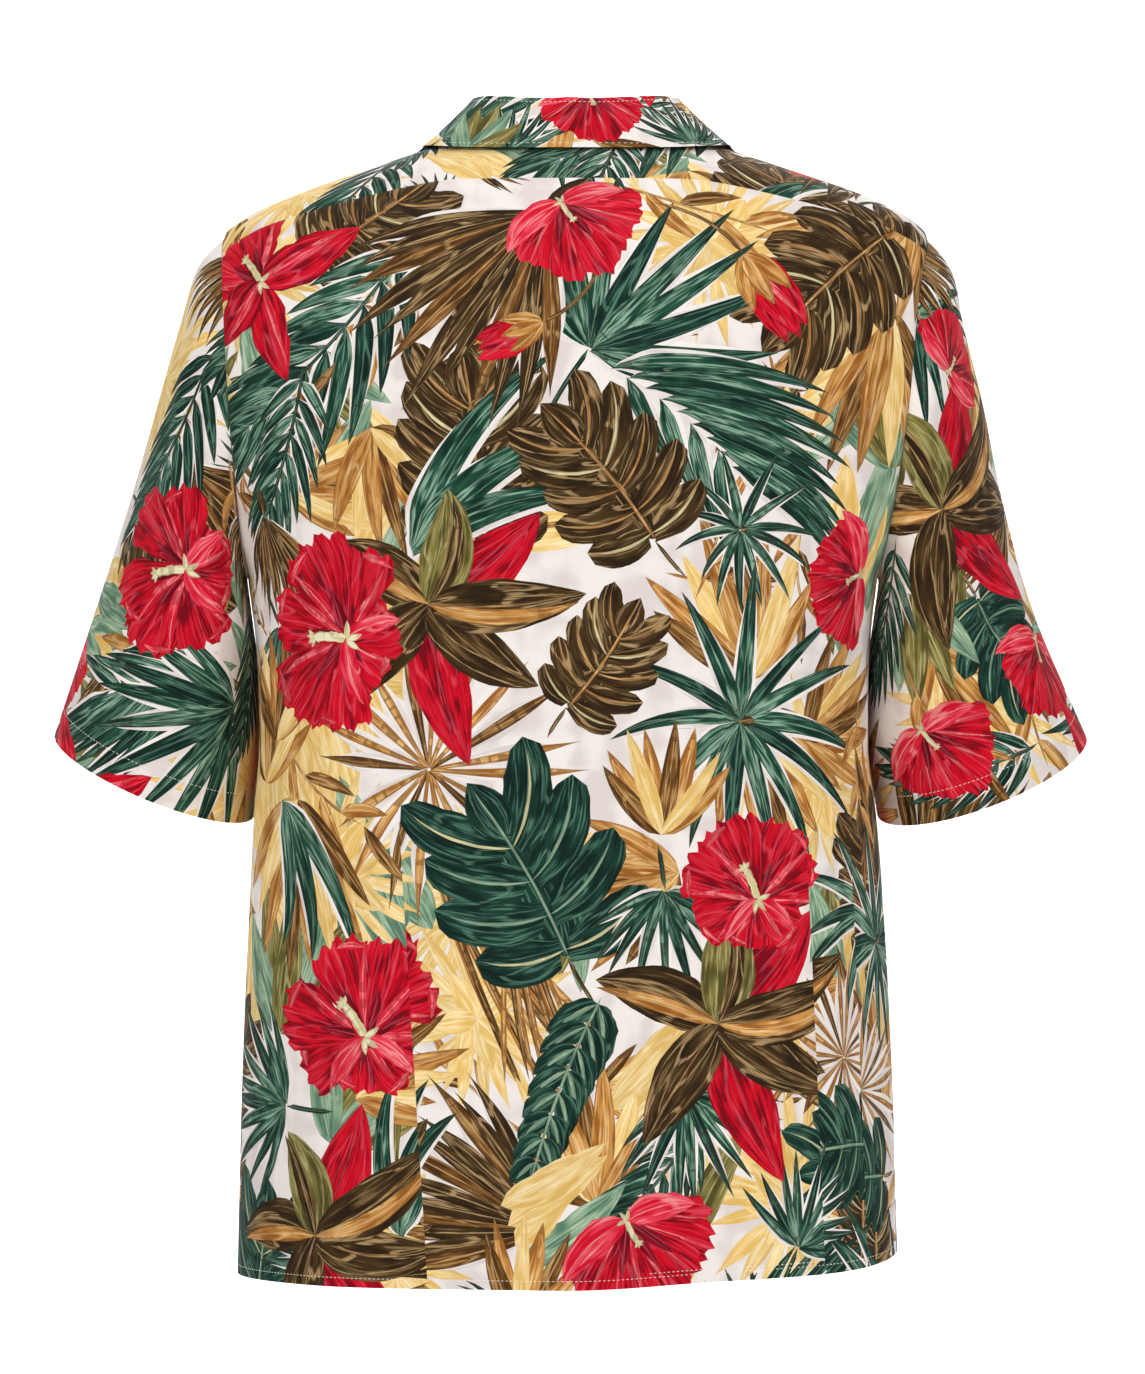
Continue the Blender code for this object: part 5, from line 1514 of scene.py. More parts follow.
    def painted(self, corners: Array, owner: Array, shown: Sequence[Shown]) -> dict[str, Array]:
        """Return what each corner of each triangle knows of its stroke.

        Args:
            corners: flat places, triangles by corners by two.
            owner: the number of each triangle's stroke, or -1.
            shown: the strokes.

        Returns:
            brush, a place in the stroke's own space, with its seed; span, shares along and across
            it and the distance to its edge; tones, its paint for each triangle; and tip.
        """
        brush = np.concatenate((corners / 100.0, np.zeros((*corners.shape[:2], 1))), -1)
        span = np.broadcast_to((0.5, 0.0, 10.0), brush.shape).copy()
        tones, tip = np.zeros((len(corners), 3, 4)), np.zeros((len(corners), 1))
        for number in np.unique(owner):
            mine = owner == number
            paint, seed, shade = Paint.IVORY.value, 0.0, 1.0
            if number >= 0:
                stroke, _, move, zone = shown[number]
                here = corners[mine] - move
                if zone >= 0:
                    slip = self.breaks[zone].slip(corners[mine].reshape(-1, 2))
                    here = here - slip.reshape(here.shape)
                along, across, edge = stroke.local(here)
                brush[mine, :, 0] = along * stroke.length / 100.0
                brush[mine, :, 1] = across * stroke.width / 20.0
                span[mine] = np.stack((along, across, edge), -1)
                paint, seed = stroke.paint.value, stroke.seed
                shade = 1.0 + 0.16 * (seed - 0.5)
            brush[mine, :, 2] = seed
            for tone in range(3):
                tones[mine, tone, :3] = linear(paint[tone]) * shade
                tones[mine, tone, 3] = paint[3 + tone]
            tip[mine] = paint.tip
        return {"brush": brush, "span": span, "tones": tones, "tip": tip}

    def build(self, bolt: Bolt) -> bpy.types.Object:
        """Cut and place the cloth.

        Args:
            bolt: the printed cloth.

        Returns:
            The finished sheet, a closed thin shell.
        """
        spots, triangles, owner, shown = self.cut(bolt)
        place, normal = self.lift(spots)
        count = len(spots)
        pairs = np.concatenate((triangles[:, [0, 1]], triangles[:, [1, 2]], triangles[:, [2, 0]]))
        key = np.sort(pairs, axis=1)
        _, first, uses = np.unique(key[:, 0] * count + key[:, 1], return_index=True, return_counts=True)
        first = first[uses == 1]
        rim, rim_face = pairs[first], first % len(triangles)
        rim_a = np.stack((rim[:, 1], rim[:, 0], rim[:, 0] + count), -1)
        rim_b = np.stack((rim[:, 1], rim[:, 0] + count, rim[:, 1] + count), -1)
        faces = np.concatenate((triangles, triangles[:, ::-1] + count, rim_a, rim_b))
        points = np.concatenate((place, place - normal * self.thickness))
        rim_run = place[rim[:, 1]] - place[rim[:, 0]]
        rim_normal = np.repeat(unit(np.cross(normal[rim[:, 1]], rim_run))[:, None], 3, axis=1)
        corner_normals = np.concatenate((normal[triangles], -normal[triangles[:, ::-1]],
                                         rim_normal, rim_normal))

        def on_all(values: Array, on_wrong_side: Array) -> Array:
            """Return values of the right side for the wrong side and the rim as well."""
            return np.concatenate((values, on_wrong_side, values[rim_face], values[rim_face]))

        piece = new_piece(self.name, points, faces)
        mesh = piece.data
        known = self.painted(spots[triangles], owner, shown)
        for name in ("brush", "span"):
            write(mesh, name, "FLOAT_VECTOR", "CORNER", on_all(known[name], known[name][:, ::-1]))
        write(mesh, "tip", "FLOAT", "FACE", on_all(known["tip"], known["tip"]))
        tones = on_all(known["tones"], known["tones"])
        for tone, name in enumerate(("tone_dark", "tone_middle", "tone_light")):
            write(mesh, name, "FLOAT_COLOR", "FACE", tones[:, tone])
        write(mesh, "wrong_side", "FLOAT", "POINT", np.arange(len(points)) >= count)
        flat_map = mesh.uv_layers.new(name="flat_cloth")
        flat_map.data.foreach_set("uv", (spots[faces % count] * MM).reshape(-1).astype(np.float32))
        mesh.normals_split_custom_set(corner_normals.reshape(-1, 3).tolist())
        mesh.update()
        log.info("%s: %d triangles, %d strokes show", self.name, len(faces),
                 len(np.unique(owner[owner >= 0])))
        return piece


def linear(screen: Sequence[float]) -> Array:
    """Return screen values of 0 to 255 as linear light."""
    value = np.array(screen, float) / 255.0
    return np.where(value <= 0.04045, value / 12.92, ((value + 0.055) / 1.055) ** 2.4)


def write(mesh: bpy.types.Mesh, name: str, kind: str, domain: str, values: Array) -> None:
    """Write one attribute of a mesh."""
    made = mesh.attributes.new(name, kind, domain)
    slot = {"FLOAT": "value", "FLOAT_VECTOR": "vector", "FLOAT_COLOR": "color"}[kind]
    made.data.foreach_set(slot, np.asarray(values, np.float32).reshape(-1))


# ---- the finishes

Socket = bpy.types.NodeSocket
Input = float | Sequence[float] | Socket


class Nodes:
    """Adds nodes to one tree, in a maker's few words."""

    def __init__(self, tree: bpy.types.NodeTree) -> None:
        """Keep the tree."""
        self.tree = tree

    def add(self, kind: str, **settings: object) -> bpy.types.Node:
        """Add a node and set its properties."""
        node = self.tree.nodes.new(kind)
        for name, value in settings.items():
            setattr(node, name, value)
        return node

    def feed(self, socket: Socket, value: Input) -> None:
        """Link a socket, or set its value."""
        if isinstance(value, Socket):
            self.tree.links.new(value, socket)
        else:
            socket.default_value = value

    def sum(self, operation: str, *values: Input) -> Socket:
        """Return the result of a Math node."""
        node = self.add("ShaderNodeMath", operation=operation)
        for socket, value in zip(node.inputs, values):
            self.feed(socket, value)
        return node.outputs[0]

    def feed_all(self, node: bpy.types.Node, values: dict[str, Input]) -> None:
        """Link or set several inputs of a node by name."""
        for name, value in values.items():
            self.feed(node.inputs[name], value)

    def known(self, name: str, output: str) -> Socket:
        """Return an output of a node that reads one of the mesh's attributes."""
        return self.add("ShaderNodeAttribute", attribute_name=name).outputs[output]

    def split(self, vector: Input) -> Sequence[Socket]:
        """Return a vector's x, y and z."""
        node = self.add("ShaderNodeSeparateXYZ")
        self.feed(node.inputs[0], vector)
        return node.outputs

    def times(self, first: Input, second: Input) -> Socket:
        """Return the product of two values."""
        return self.sum("MULTIPLY", first, second)

    def ramp(self, value: Input, low: float, high: float) -> Socket:
        """Return a soft step from 0 at low to 1 at high."""
        node = self.add("ShaderNodeMapRange", interpolation_type="SMOOTHSTEP")
        self.feed_all(node, {"Value": value, "From Min": low, "From Max": high})
        return node.outputs["Result"]

    def blend(self, factor: Input, first: Input, second: Input) -> Socket:
        """Return a colour between two."""
        node = self.add("ShaderNodeMix", data_type="RGBA")
        self.feed(node.inputs["Factor"], factor)
        first_socket, second_socket = [s for s in node.inputs if s.type == "RGBA"]
        self.feed(first_socket, first)
        self.feed(second_socket, second)
        return [s for s in node.outputs if s.type == "RGBA"][0]

    def noise(self, vector: Input, scale: float, detail: float) -> Socket:
        """Return a noise of about 0 to 1."""
        node = self.add("ShaderNodeTexNoise", noise_dimensions="3D")
        self.feed_all(node, {"Vector": vector, "Scale": scale, "Detail": detail})
        return node.outputs[0]

    def place(self, x: Input, y: Input, z: Input) -> Socket:
        """Return a vector."""
        node = self.add("ShaderNodeCombineXYZ")
        for socket, value in zip(node.inputs, (x, y, z)):
            self.feed(socket, value)
        return node.outputs[0]


def new_material(name: str) -> tuple[bpy.types.Material, Nodes, bpy.types.Node]:
    """Return a new material, its nodes and its shader."""
    material = bpy.data.materials.new(name)
    material.use_nodes = True
    return material, Nodes(material.node_tree), material.node_tree.nodes["Principled BSDF"]


@dataclass(frozen=True)
class PrintedCotton:
    """Light plain-woven cloth with a painterly print."""

    roughness: float = 0.70
    sheen: float = 0.025
    threads_per_metre: float = 3200.0
    weave_height: float = 0.00004
    wrong_side: tuple[int, int, int] = (232, 225, 219)
    wrong_side_fade: float = 0.62
    gloss: float = 0.10

    def brushwork(self) -> bpy.types.NodeTree:
        """Return the group that turns a place on a stroke into its colour."""
        tree = bpy.data.node_groups.new("brushwork", "ShaderNodeTree")
        for name in ("Brush", "Span"):
            tree.interface.new_socket(name, in_out="INPUT", socket_type="NodeSocketVector")
        for name in ("Dark", "Middle", "Light"):
            tree.interface.new_socket(name, in_out="INPUT", socket_type="NodeSocketColor")
        for name in ("Rib", "Rim", "Streaks", "Tip"):
            tree.interface.new_socket(name, in_out="INPUT", socket_type="NodeSocketFloat")
        tree.interface.new_socket("Colour", in_out="OUTPUT", socket_type="NodeSocketColor")
        n = Nodes(tree)
        given = n.add("NodeGroupInput").outputs
        along, across, seed = n.split(given["Brush"])
        share, _, edge = n.split(given["Span"])

        def streaky(ahead: float, aside: float, shift: float, scale: float, detail: float) -> Socket:
            """Return a noise of its own, with how fast it changes along and across the stroke."""
            place = n.place(n.times(along, ahead), n.times(across, aside),
                            n.sum("MULTIPLY_ADD", seed, 60.0, shift))
            return n.noise(place, scale, detail)

        # broad washes, streaks along the stroke, bristle marks and rare strands
        wash = streaky(3.0, 0.9, 0.0, 1.7, 1.0)
        lines = streaky(2.0, 3.4, 7.0, 1.6, 1.5)
        hair = streaky(3.6, 8.0, 13.0, 1.6, 1.0)
        strand = streaky(1.1, 0.62, 21.0, 1.6, 0.5)
        # dark to middle, then light where the paint is thin, both running along the stroke
        run = n.times(n.sum("SUBTRACT", share, 0.5), given["Tip"])
        tone = n.sum("MULTIPLY_ADD", wash, 0.55, n.times(lines, 0.45))
        tone = n.sum("MULTIPLY_ADD", run, 0.30, tone)
        colour = n.blend(n.ramp(tone, 0.55, 0.40), given["Middle"], given["Dark"])
        thin = n.sum("MULTIPLY_ADD", wash, 0.35, n.times(lines, 0.65))
        thin = n.sum("MULTIPLY_ADD", run, 0.34, thin)
        light = n.times(n.ramp(thin, 0.535, 0.62), n.ramp(hair, 0.36, 0.52))
        colour = n.blend(n.times(light, given["Streaks"]), colour, given["Light"])
        # a light rib and veins, broken by the bristles
        broken = n.ramp(hair, 0.36, 0.54)
        vein = n.ramp(n.sum("ABSOLUTE", n.sum("SUBTRACT", strand, 0.5)), 0.036, 0.012)
        away = n.sum("ABSOLUTE", across)
        rib = n.sum("MAXIMUM", n.ramp(away, 0.075, 0.03), n.times(vein, 0.85))
        rib = n.times(n.times(rib, broken), given["Rib"])
        colour = n.blend(rib, colour, given["Light"])
        # a dark outline that fades from 0.35 to 0.75 mm inside the edge
        rim = n.times(n.times(n.ramp(edge, 0.75, 0.35), n.ramp(wash, 0.36, 0.5)), given["Rim"])
        shadow = n.blend(0.45, given["Dark"], (0.05, 0.03, 0.015, 1.0))
        colour = n.blend(rim, colour, shadow)
        n.feed(n.add("NodeGroupOutput").inputs[0], colour)
        return tree

    def material(self) -> bpy.types.Material:
        """Return the cloth's material."""
        material, n, shader = new_material("printed_cotton")
        group = n.add("ShaderNodeGroup", node_tree=self.brushwork())
        n.feed_all(group, {"Brush": n.known("brush", "Vector"), "Span": n.known("span", "Vector"),
                           "Tip": n.known("tip", "Fac")})
        for colour, amount, name in (("Dark", "Rib", "tone_dark"), ("Middle", "Rim", "tone_middle"),
                                     ("Light", "Streaks", "tone_light")):
            n.feed_all(group, {colour: n.known(name, "Color"), amount: n.known(name, "Alpha")})
        pale = n.times(n.known("wrong_side", "Fac"), self.wrong_side_fade)
        colour = n.blend(pale, group.outputs[0], (*linear(self.wrong_side), 1.0))
        flat = n.add("ShaderNodeUVMap", uv_map="flat_cloth").outputs[0]
        warp, weft, _ = (n.sum("SINE", n.times(way, self.threads_per_metre * math.pi))
                         for way in n.split(flat))
        height = n.sum("MULTIPLY_ADD", n.times(warp, weft), 0.25, n.noise(flat, 260.0, 2.0))
        bump = n.add("ShaderNodeBump")
        n.feed_all(bump, {"Height": height, "Distance": self.weave_height, "Strength": 0.6})
        n.feed_all(shader, {"Base Color": colour, "Normal": bump.outputs[0], "Roughness": self.roughness,
                            "Sheen Weight": self.sheen, "Specular IOR Level": self.gloss})
        return material


@dataclass(frozen=True)
class PlainFinish:
    """A plain finish: its colour as screen values, and its roughness."""

    name: str
    colour: tuple[int, int, int]
    roughness: float
    one_sided: bool = False

    def material(self) -> bpy.types.Material:
        """Return the finish's material, which has no back where it is one-sided."""
        material, n, shader = new_material(self.name)
        n.feed_all(shader, {"Base Color": (*linear(self.colour), 1.0), "Roughness": self.roughness})
        if self.one_sided:
            mix = n.add("ShaderNodeMixShader")
            n.feed(mix.inputs[0], n.add("ShaderNodeNewGeometry").outputs["Backfacing"])
            n.feed(mix.inputs[1], shader.outputs[0])
            n.feed(mix.inputs[2], n.add("ShaderNodeBsdfTransparent").outputs[0])
            n.feed(material.node_tree.nodes["Material Output"].inputs["Surface"], mix.outputs[0])
        return material


THREAD = PlainFinish("sewing_thread", (238, 233, 226), 0.7)


# ---- the sewing

@dataclass
class Stitching:
    """Machine stitches on one cut piece: rows of short thread dashes."""

    cloth: Cloth
    pitch: float = 3.0
    length: float = 2.3
    width: float = 0.42
    height: float = 0.16
    dashes: list[tuple[Array, Array]] = field(default_factory=list)

    def row(self, line: Array) -> None:
        """Sew one row of stitches along a flat line, in millimetres."""
        line = line[inside(self.cloth.ring(), line)]
        if len(line) < 2:
            return
        runs = run_along(line)
        starts = np.arange(self.pitch / 2.0, runs[-1] - self.length, self.pitch)
        self.dashes.append((on_line(line, runs, starts), on_line(line, runs, starts + self.length)))

    def buttonhole(self, x: float, y: float, half: float = 7.5) -> None:
        """Sew close stitches round an upright slit and a bar at each end."""
        ys = np.arange(y - half, y + half, 0.55)
        for side in (-1.0, 1.0):
            near = np.stack((np.full_like(ys, x + side * 0.35), ys), -1)
            self.dashes.append((near, near + np.array((side * 1.3, 0.0))))
        xs = np.arange(x - 1.6, x + 1.7, 0.55)
        for end in (-half - 1.0, half + 0.2):
            near = np.stack((xs, np.full_like(xs, y + end)), -1)
            self.dashes.append((near, near + np.array((0.0, 1.2))))

    def build(self, material: bpy.types.Material) -> bpy.types.Object:
        """Make every stitch of the piece as one object.

        Args:
            material: the thread's material.

        Returns:
            The finished object.
        """
        start = np.concatenate([pair[0] for pair in self.dashes])
        end = np.concatenate([pair[1] for pair in self.dashes])
        a, up_a = self.cloth.lift(start)
        b, up_b = self.cloth.lift(end)
        up = unit(up_a + up_b)
        run = b - a
        side = unit(np.cross(run, up)) * self.width * MM / 2.0
        rise, sink = up * self.height * MM, up * 0.12 * MM
        places = [a - sink]
        for share in (0.25, 0.75):
            middle = a + run * share
            places += [middle - side, middle + rise, middle + side, middle - sink]
        places.append(b - sink)
        points = np.stack(places, axis=1).reshape(-1, 3)
        faces = []
        for k in range(4):
            after = (k + 1) % 4
            faces += [(0, 1 + after, 1 + k), (1 + k, 1 + after, 5 + after), (1 + k, 5 + after, 5 + k),
                      (9, 5 + k, 5 + after)]
        faces = (np.array(faces)[None] + np.arange(len(start))[:, None, None] * 10).reshape(-1, 3)
        piece = new_piece(self.cloth.name.replace("cloth", "stitches"), points, faces)
        piece.data.materials.append(material)
        log.info("%s: %d stitches", piece.name, len(start))
        return piece


BUTTON_GAP = 0.4 * MM


@dataclass
class Button:
    """A dished coconut button with a raised rim and four holes, turned on a lathe."""

    radius: float = 5.75 * MM
    thickness: float = 2.6 * MM
    rim: float = 1.1 * MM
    dish: float = 0.6 * MM
    hole_radius: float = 0.9 * MM
    hole_reach: float = 1.3 * MM

    def model(self) -> bpy.types.Object:
        """Model one button, lying on z = 0, and return it."""
        bpy.ops.object.select_all(action="DESELECT")
        bpy.ops.mesh.primitive_cylinder_add(vertices=64, radius=self.radius, depth=self.thickness,
                                            location=(0.0, 0.0, self.thickness / 2.0))
        button = bpy.context.object
        mesh = button.data
        bpy.ops.object.mode_set(mode="EDIT")
        bpy.ops.mesh.select_mode(type="FACE")
        bpy.ops.mesh.select_all(action="DESELECT")
        bpy.ops.object.mode_set(mode="OBJECT")
        for face in mesh.polygons:
            face.select = face.normal.z > 0.9
        bpy.ops.object.mode_set(mode="EDIT")
        bpy.ops.mesh.inset(thickness=self.rim, depth=0.0)
        bpy.ops.mesh.inset(thickness=0.5 * MM, depth=-self.dish)
        bpy.ops.object.mode_set(mode="OBJECT")
        for x in (-1.0, 1.0):
            for y in (-1.0, 1.0):
                bpy.ops.mesh.primitive_cylinder_add(
                    vertices=24, radius=self.hole_radius, depth=self.thickness * 3.0,
                    location=(x * self.hole_reach, y * self.hole_reach, self.thickness / 2.0))
                drill = bpy.context.object
                cut = button.modifiers.new("hole", "BOOLEAN")
                cut.object = drill
                cut.operation = "DIFFERENCE"
                cut.solver = "EXACT"
                bpy.context.view_layer.objects.active = button
                bpy.ops.object.modifier_apply(modifier="hole")
                bpy.data.objects.remove(drill)
        bpy.ops.object.select_all(action="DESELECT")
        button.select_set(True)
        bpy.context.view_layer.objects.active = button
        soft = button.modifiers.new("soft_edges", "BEVEL")
        soft.width = 0.22 * MM
        soft.segments = 3
        soft.limit_method = "ANGLE"
        soft.angle_limit = math.radians(38.0)
        bpy.ops.object.modifier_apply(modifier="soft_edges")
        bpy.ops.object.transform_apply(location=True, rotation=False, scale=False)
        bpy.ops.object.shade_smooth_by_angle(angle=math.radians(40.0))
        return button

    def thread(self) -> Array:
        """Return the middles of the sewing thread's two crossing strands, hole to hole."""
        reach, top = self.hole_reach, self.thickness - self.dish
        share = np.linspace(0.0, 1.0, 9)[:, None]
        strands = []
        for side in (-1.0, 1.0):
            start = np.array((-reach, -reach * side, top - 1.0 * MM))
            end = np.array((reach, reach * side, top - 1.0 * MM))
            strand = start * (1 - share) + end * share
            strand[:, 2] += (1.0 - (2.0 * share[:, 0] - 1.0) ** 6) * (1.45 + 0.25 * side) * MM
            strands.append(strand)
        return np.array(strands)


@dataclass(frozen=True)
class Coconut:
    """Polished coconut shell with fine grain and paler flecks."""

    tones: tuple[tuple[int, int, int], ...] = ((112, 72, 38), (176, 130, 82), (214, 178, 128))
    roughness: float = 0.32
    coat: float = 0.25

    def material(self) -> bpy.types.Material:
        """Return the shell's material."""
        material, n, shader = new_material("coconut_shell")
        turned = n.add("ShaderNodeMapping")
        n.feed_all(turned, {"Vector": n.add("ShaderNodeTexCoord").outputs["Object"],
                            "Scale": (1.0, 1.0, 0.25)})
        grain, flecks = n.noise(turned.outputs[0], 900.0, 3.0), n.noise(turned.outputs[0], 2600.0, 1.0)
        dark, light, fleck = ((*linear(tone), 1.0) for tone in self.tones)
        colour = n.blend(n.ramp(grain, 0.38, 0.62), dark, light)
        colour = n.blend(n.ramp(flecks, 0.62, 0.70), colour, fleck)
        n.feed_all(shader, {"Base Color": colour, "Roughness": self.roughness, "Coat Weight": self.coat})
        return material


def tube(name: str, lines: Array, radius: float, material: bpy.types.Material) -> bpy.types.Object:
    """Make round threads along lines of points.

    Args:
        name: the object's name.
        lines: lines by points by three, in metres.
        radius: the threads' radius.
        material: their material.

    Returns:
        The finished object.
    """
    points, faces = [], []
    for line in lines:
        run = unit(np.gradient(line, axis=0))
        side = unit(np.cross(run, np.array((0.31, 0.17, 0.94))))
        other = np.cross(run, side)
        turns = np.arange(6) / 6.0 * TURN
        ring = (line[:, None] + radius * (np.cos(turns)[None, :, None] * side[:, None]
                                          + np.sin(turns)[None, :, None] * other[:, None]))
        base = sum(len(p) for p in points)
        points.append(ring.reshape(-1, 3))
        for k in range(len(line) - 1):
            for j in range(6):
                a, b = base + k * 6 + j, base + k * 6 + (j + 1) % 6
                faces += [(a, b, b + 6), (a, b + 6, a + 6)]
        for first, order in ((base, -1), (base + (len(line) - 1) * 6, 1)):
            faces.append(tuple(first + j for j in range(6))[::order])
    piece = new_piece(name, np.concatenate(points), faces)
    piece.data.materials.append(material)
    return piece


# ---- the shirt

ROWS_BELOW_ARMHOLE = 110


@dataclass(frozen=True)
class StitchRows:
    """How far from their edges or folds the rows of stitches run, in millimetres."""

    hem: float = 6.0
    mended_hem: float = 8.6
    mended_span: tuple[float, float] = (48.0, 168.0)
    sleeve_hem: float = 20.0
    front_edge: float = 5.0
    collar_edge: float = 3.4
    collar_fold: float = 4.8
    yoke_seam: float = 1.6


@dataclass
class Shirt:
    """The sewn shirt: its forms, its cut pieces, and what is sewn on them."""

    body: BodyForm = field(default_factory=BodyForm)
    rows: StitchRows = StitchRows()
    overlap: float = 0.018
    underlap_depth: float = 0.0022
    first_button_z: float = -0.083
    button_gap: float = 0.100
    buttons_in_all: int = 6
    bolt: Bolt = field(default_factory=Bolt)

    def __post_init__(self) -> None:
        """Make both sleeves' forms."""
        self.sleeves = {"left": SleeveForm(self.body, -1.0, LEFT_SLEEVE),
                        "right": SleeveForm(self.body, 1.0, RIGHT_SLEEVE)}

    def lay_flat(self, angle: Array, z: Array, anchor: float) -> Array:
        """Return places of the body's surface on the flat cloth, in millimetres."""
        across = self.body.arc(angle, z) - self.body.arc(np.full_like(z, anchor), z)
        return np.stack((across, self.body.rise(z, anchor)), -1) / MM

    def back_angle(self, shares: Array, z: Array) -> Array:
        """Return turns at shares of the half back, which ends at the armholes."""
        right, left = (self.body.armhole_angle(side, z, front=False) for side in (1.0, -1.0))
        return np.abs(shares) * np.where(shares >= 0.0, right, left)

    def back(self) -> Cloth:
        """Return the back, from hem to yoke seam."""
        body = self.body
        shares = np.linspace(-1.0, 1.0, 141)
        # from the hem up to the armholes
        low = np.linspace(0.0, 1.0, ROWS_BELOW_ARMHOLE)[:-1, None]
        angle_low = np.broadcast_to(shares * QUARTER, (len(low), len(shares)))
        hem = body.hem(angle_low)
        z_low = hem + (body.armhole_low - hem) * low
        # from the armholes' foot up to the yoke
        turns = np.linspace(math.pi, 2.0 * YOKE_STEP, 64)
        middle, half = body.armhole()
        z_side = (middle + half * np.cos(turns))[:, None]
        rising = ((math.pi - turns) / (math.pi - turns[-1]))[:, None]
        z_centre = body.armhole_low + (body.yoke_back_z - body.armhole_low) * rising
        z_high = z_centre + (z_side - z_centre) * body.yoke_drop(shares)
        angle = np.concatenate((angle_low, self.back_angle(shares, z_side)))
        z = np.concatenate((z_low, z_high))
        creases = table(
            Crease, (-114, -425, -96, -742, 5.0, -1.1), (176, -430, 192, -730, 5.0, -1.1),
            (-156, -405, -155, -500, 4.0, -0.7), (208, -150, 232, -330, 5.0, 0.9),
            (236, -430, 258, -730, 7.0, 1.3), (-240, -270, -262, -520, 8.0, 1.2),
            (-225, -640, -190, -742, 8.0, -1.4), (-60, -620, -50, -744, 14.0, 1.2),
            (60, -560, 72, -744, 15.0, -1.2), (-150, -60, -225, -190, 9.0, 0.9),
            (150, -58, 222, -170, 9.0, 0.9), (-236, -300, -150, -352, 8.0, -1.1),
            (230, -318, 150, -366, 8.0, -1.2), (-30, -330, 40, -352, 16.0, 0.7),
            (-120, -36, -70, -40, 5.0, -0.5), (110, -38, 60, -42, 5.0, -0.5),
            (120, -660, 150, -738, 9.0, 1.0), (-20, -690, -8, -745, 7.0, -0.8),
        )
        breaks = table(Break, (-113, -428, -92, -760, -1.0, 9.0, -13.0),
                       (157, -428, 171, -760, 1.0, -8.0, 12.0), (199, -446, 211, -760, 1.0, 7.0, -10.0))
        return Cloth("back_cloth", "back_panel", body.point(angle, z), self.lay_flat(angle, z, 0.0),
                     (0.0, 0.0), (Edge.HEM, Edge.SEAM, Edge.SEAM, Edge.SEAM), creases, breaks=breaks)

    def front(self, side: float) -> Cloth:
        """Return one front, from hem to neck.

        Args:
            side: 1 for the wearer's right, -1 for the left.

        Returns:
            The cut piece.
        """
        body = self.body
        at_yoke, at_neck, last_arm = 12.0, 17.0, 59
        places = np.concatenate((np.linspace(0.0, at_yoke, last_arm + 1)[:-1],
                                 np.linspace(at_yoke, at_neck, 24)))
        turns = math.pi - np.minimum(places, at_yoke) * YOKE_STEP
        middle, half = body.armhole()
        z_arm = middle + half * np.cos(turns)
        angle_arm = np.abs(body.armhole_angle(side, z_arm, front=True))
        share = np.clip((at_neck - places) / (at_neck - at_yoke), 0.0, 1.0)
        neck_turn = body.yoke_front_turn
        neck_z = float(body.neck(np.array(neck_turn)))
        on_arm = places <= at_yoke
        start = np.where(on_arm, angle_arm, neck_turn + (angle_arm[last_arm] - neck_turn) * share)
        edge_z = np.where(on_arm, z_arm, neck_z + (z_arm[last_arm] - neck_z) * share)
        centre_z = body.armhole_low + (body.neck_front_z - body.armhole_low) * places / at_neck
        columns = np.linspace(0.0, 1.0, 76)

        def spread_out(first: Array, level: Array) -> Array:
            """Return turns from a start to past the centre line."""
            past = self.overlap / body.column["front"](level)
            return first[:, None] + (math.pi + past - first)[:, None] * columns[None, :]

        # from the hem up to the armhole
        low = np.linspace(0.0, 1.0, ROWS_BELOW_ARMHOLE)[:-1]
        angle_low = spread_out(np.full_like(low, QUARTER), np.full_like(low, BODY[0].z))
        hem = body.hem(side * angle_low)
        z_low = hem + (body.armhole_low - hem) * low[:, None]
        # from there along the armhole and the yoke to the neck
        angle_high = spread_out(start, centre_z)
        inward = np.clip((angle_high - start[:, None]) / (math.pi - start)[:, None], 0.0, 1.0)
        on_neck = body.neck(neck_turn + (math.pi - neck_turn) * inward)
        drop = (neck_z - on_neck) / (neck_z - body.neck_front_z)
        z_high = edge_z[:, None] + (centre_z - edge_z)[:, None] * drop
        angle = side * np.concatenate((angle_low, angle_high))
        z = np.concatenate((z_low, z_high))
        grid = body.point(angle, z)
        # the right front's edge lies behind the left one
        if side > 0:
            behind = self.underlap_depth * smooth_step(2.6 - grid[..., 0] / self.overlap)
            grid = grid - body.normal(angle, z) * behind[..., None]
        flat = self.lay_flat(angle, z, side * math.pi)
        sides = (Edge.HEM, Edge.FREE, Edge.SEAM, Edge.SEAM)
        creases = table(
            Crease, (-130, -250, -160, -520, 9.0, 1.3), (-60, -420, -80, -744, 14.0, -1.4),
            (-190, -300, -110, -352, 9.0, -1.2), (-100, -560, -130, -744, 12.0, 1.3),
            (-150, -90, -80, -210, 12.0, 1.0), (-30, -200, -44, -380, 10.0, -0.9),
        )
        if side < 0:
            grid, flat = grid[:, ::-1], flat[:, ::-1]
            creases = tuple(c._replace(x0=-c.x0 * 0.96, x1=-c.x1, width=c.width * 1.1) for c in creases)
            sides = (Edge.HEM, Edge.SEAM, Edge.SEAM, Edge.FREE)
        name = "right" if side > 0 else "left"
        creases = tuple(c._replace(y0=c.y0 - 6 * side) for c in creases)
        shift = (-180.0, -60.0) if side > 0 else (-230.0, -330.0)
        return Cloth(name + "_front_cloth", name + "_front", grid, flat, shift, sides, creases)

    def yoke(self) -> Cloth:
        """Return the yoke, over both shoulders and across the back of the neck."""
        body = self.body
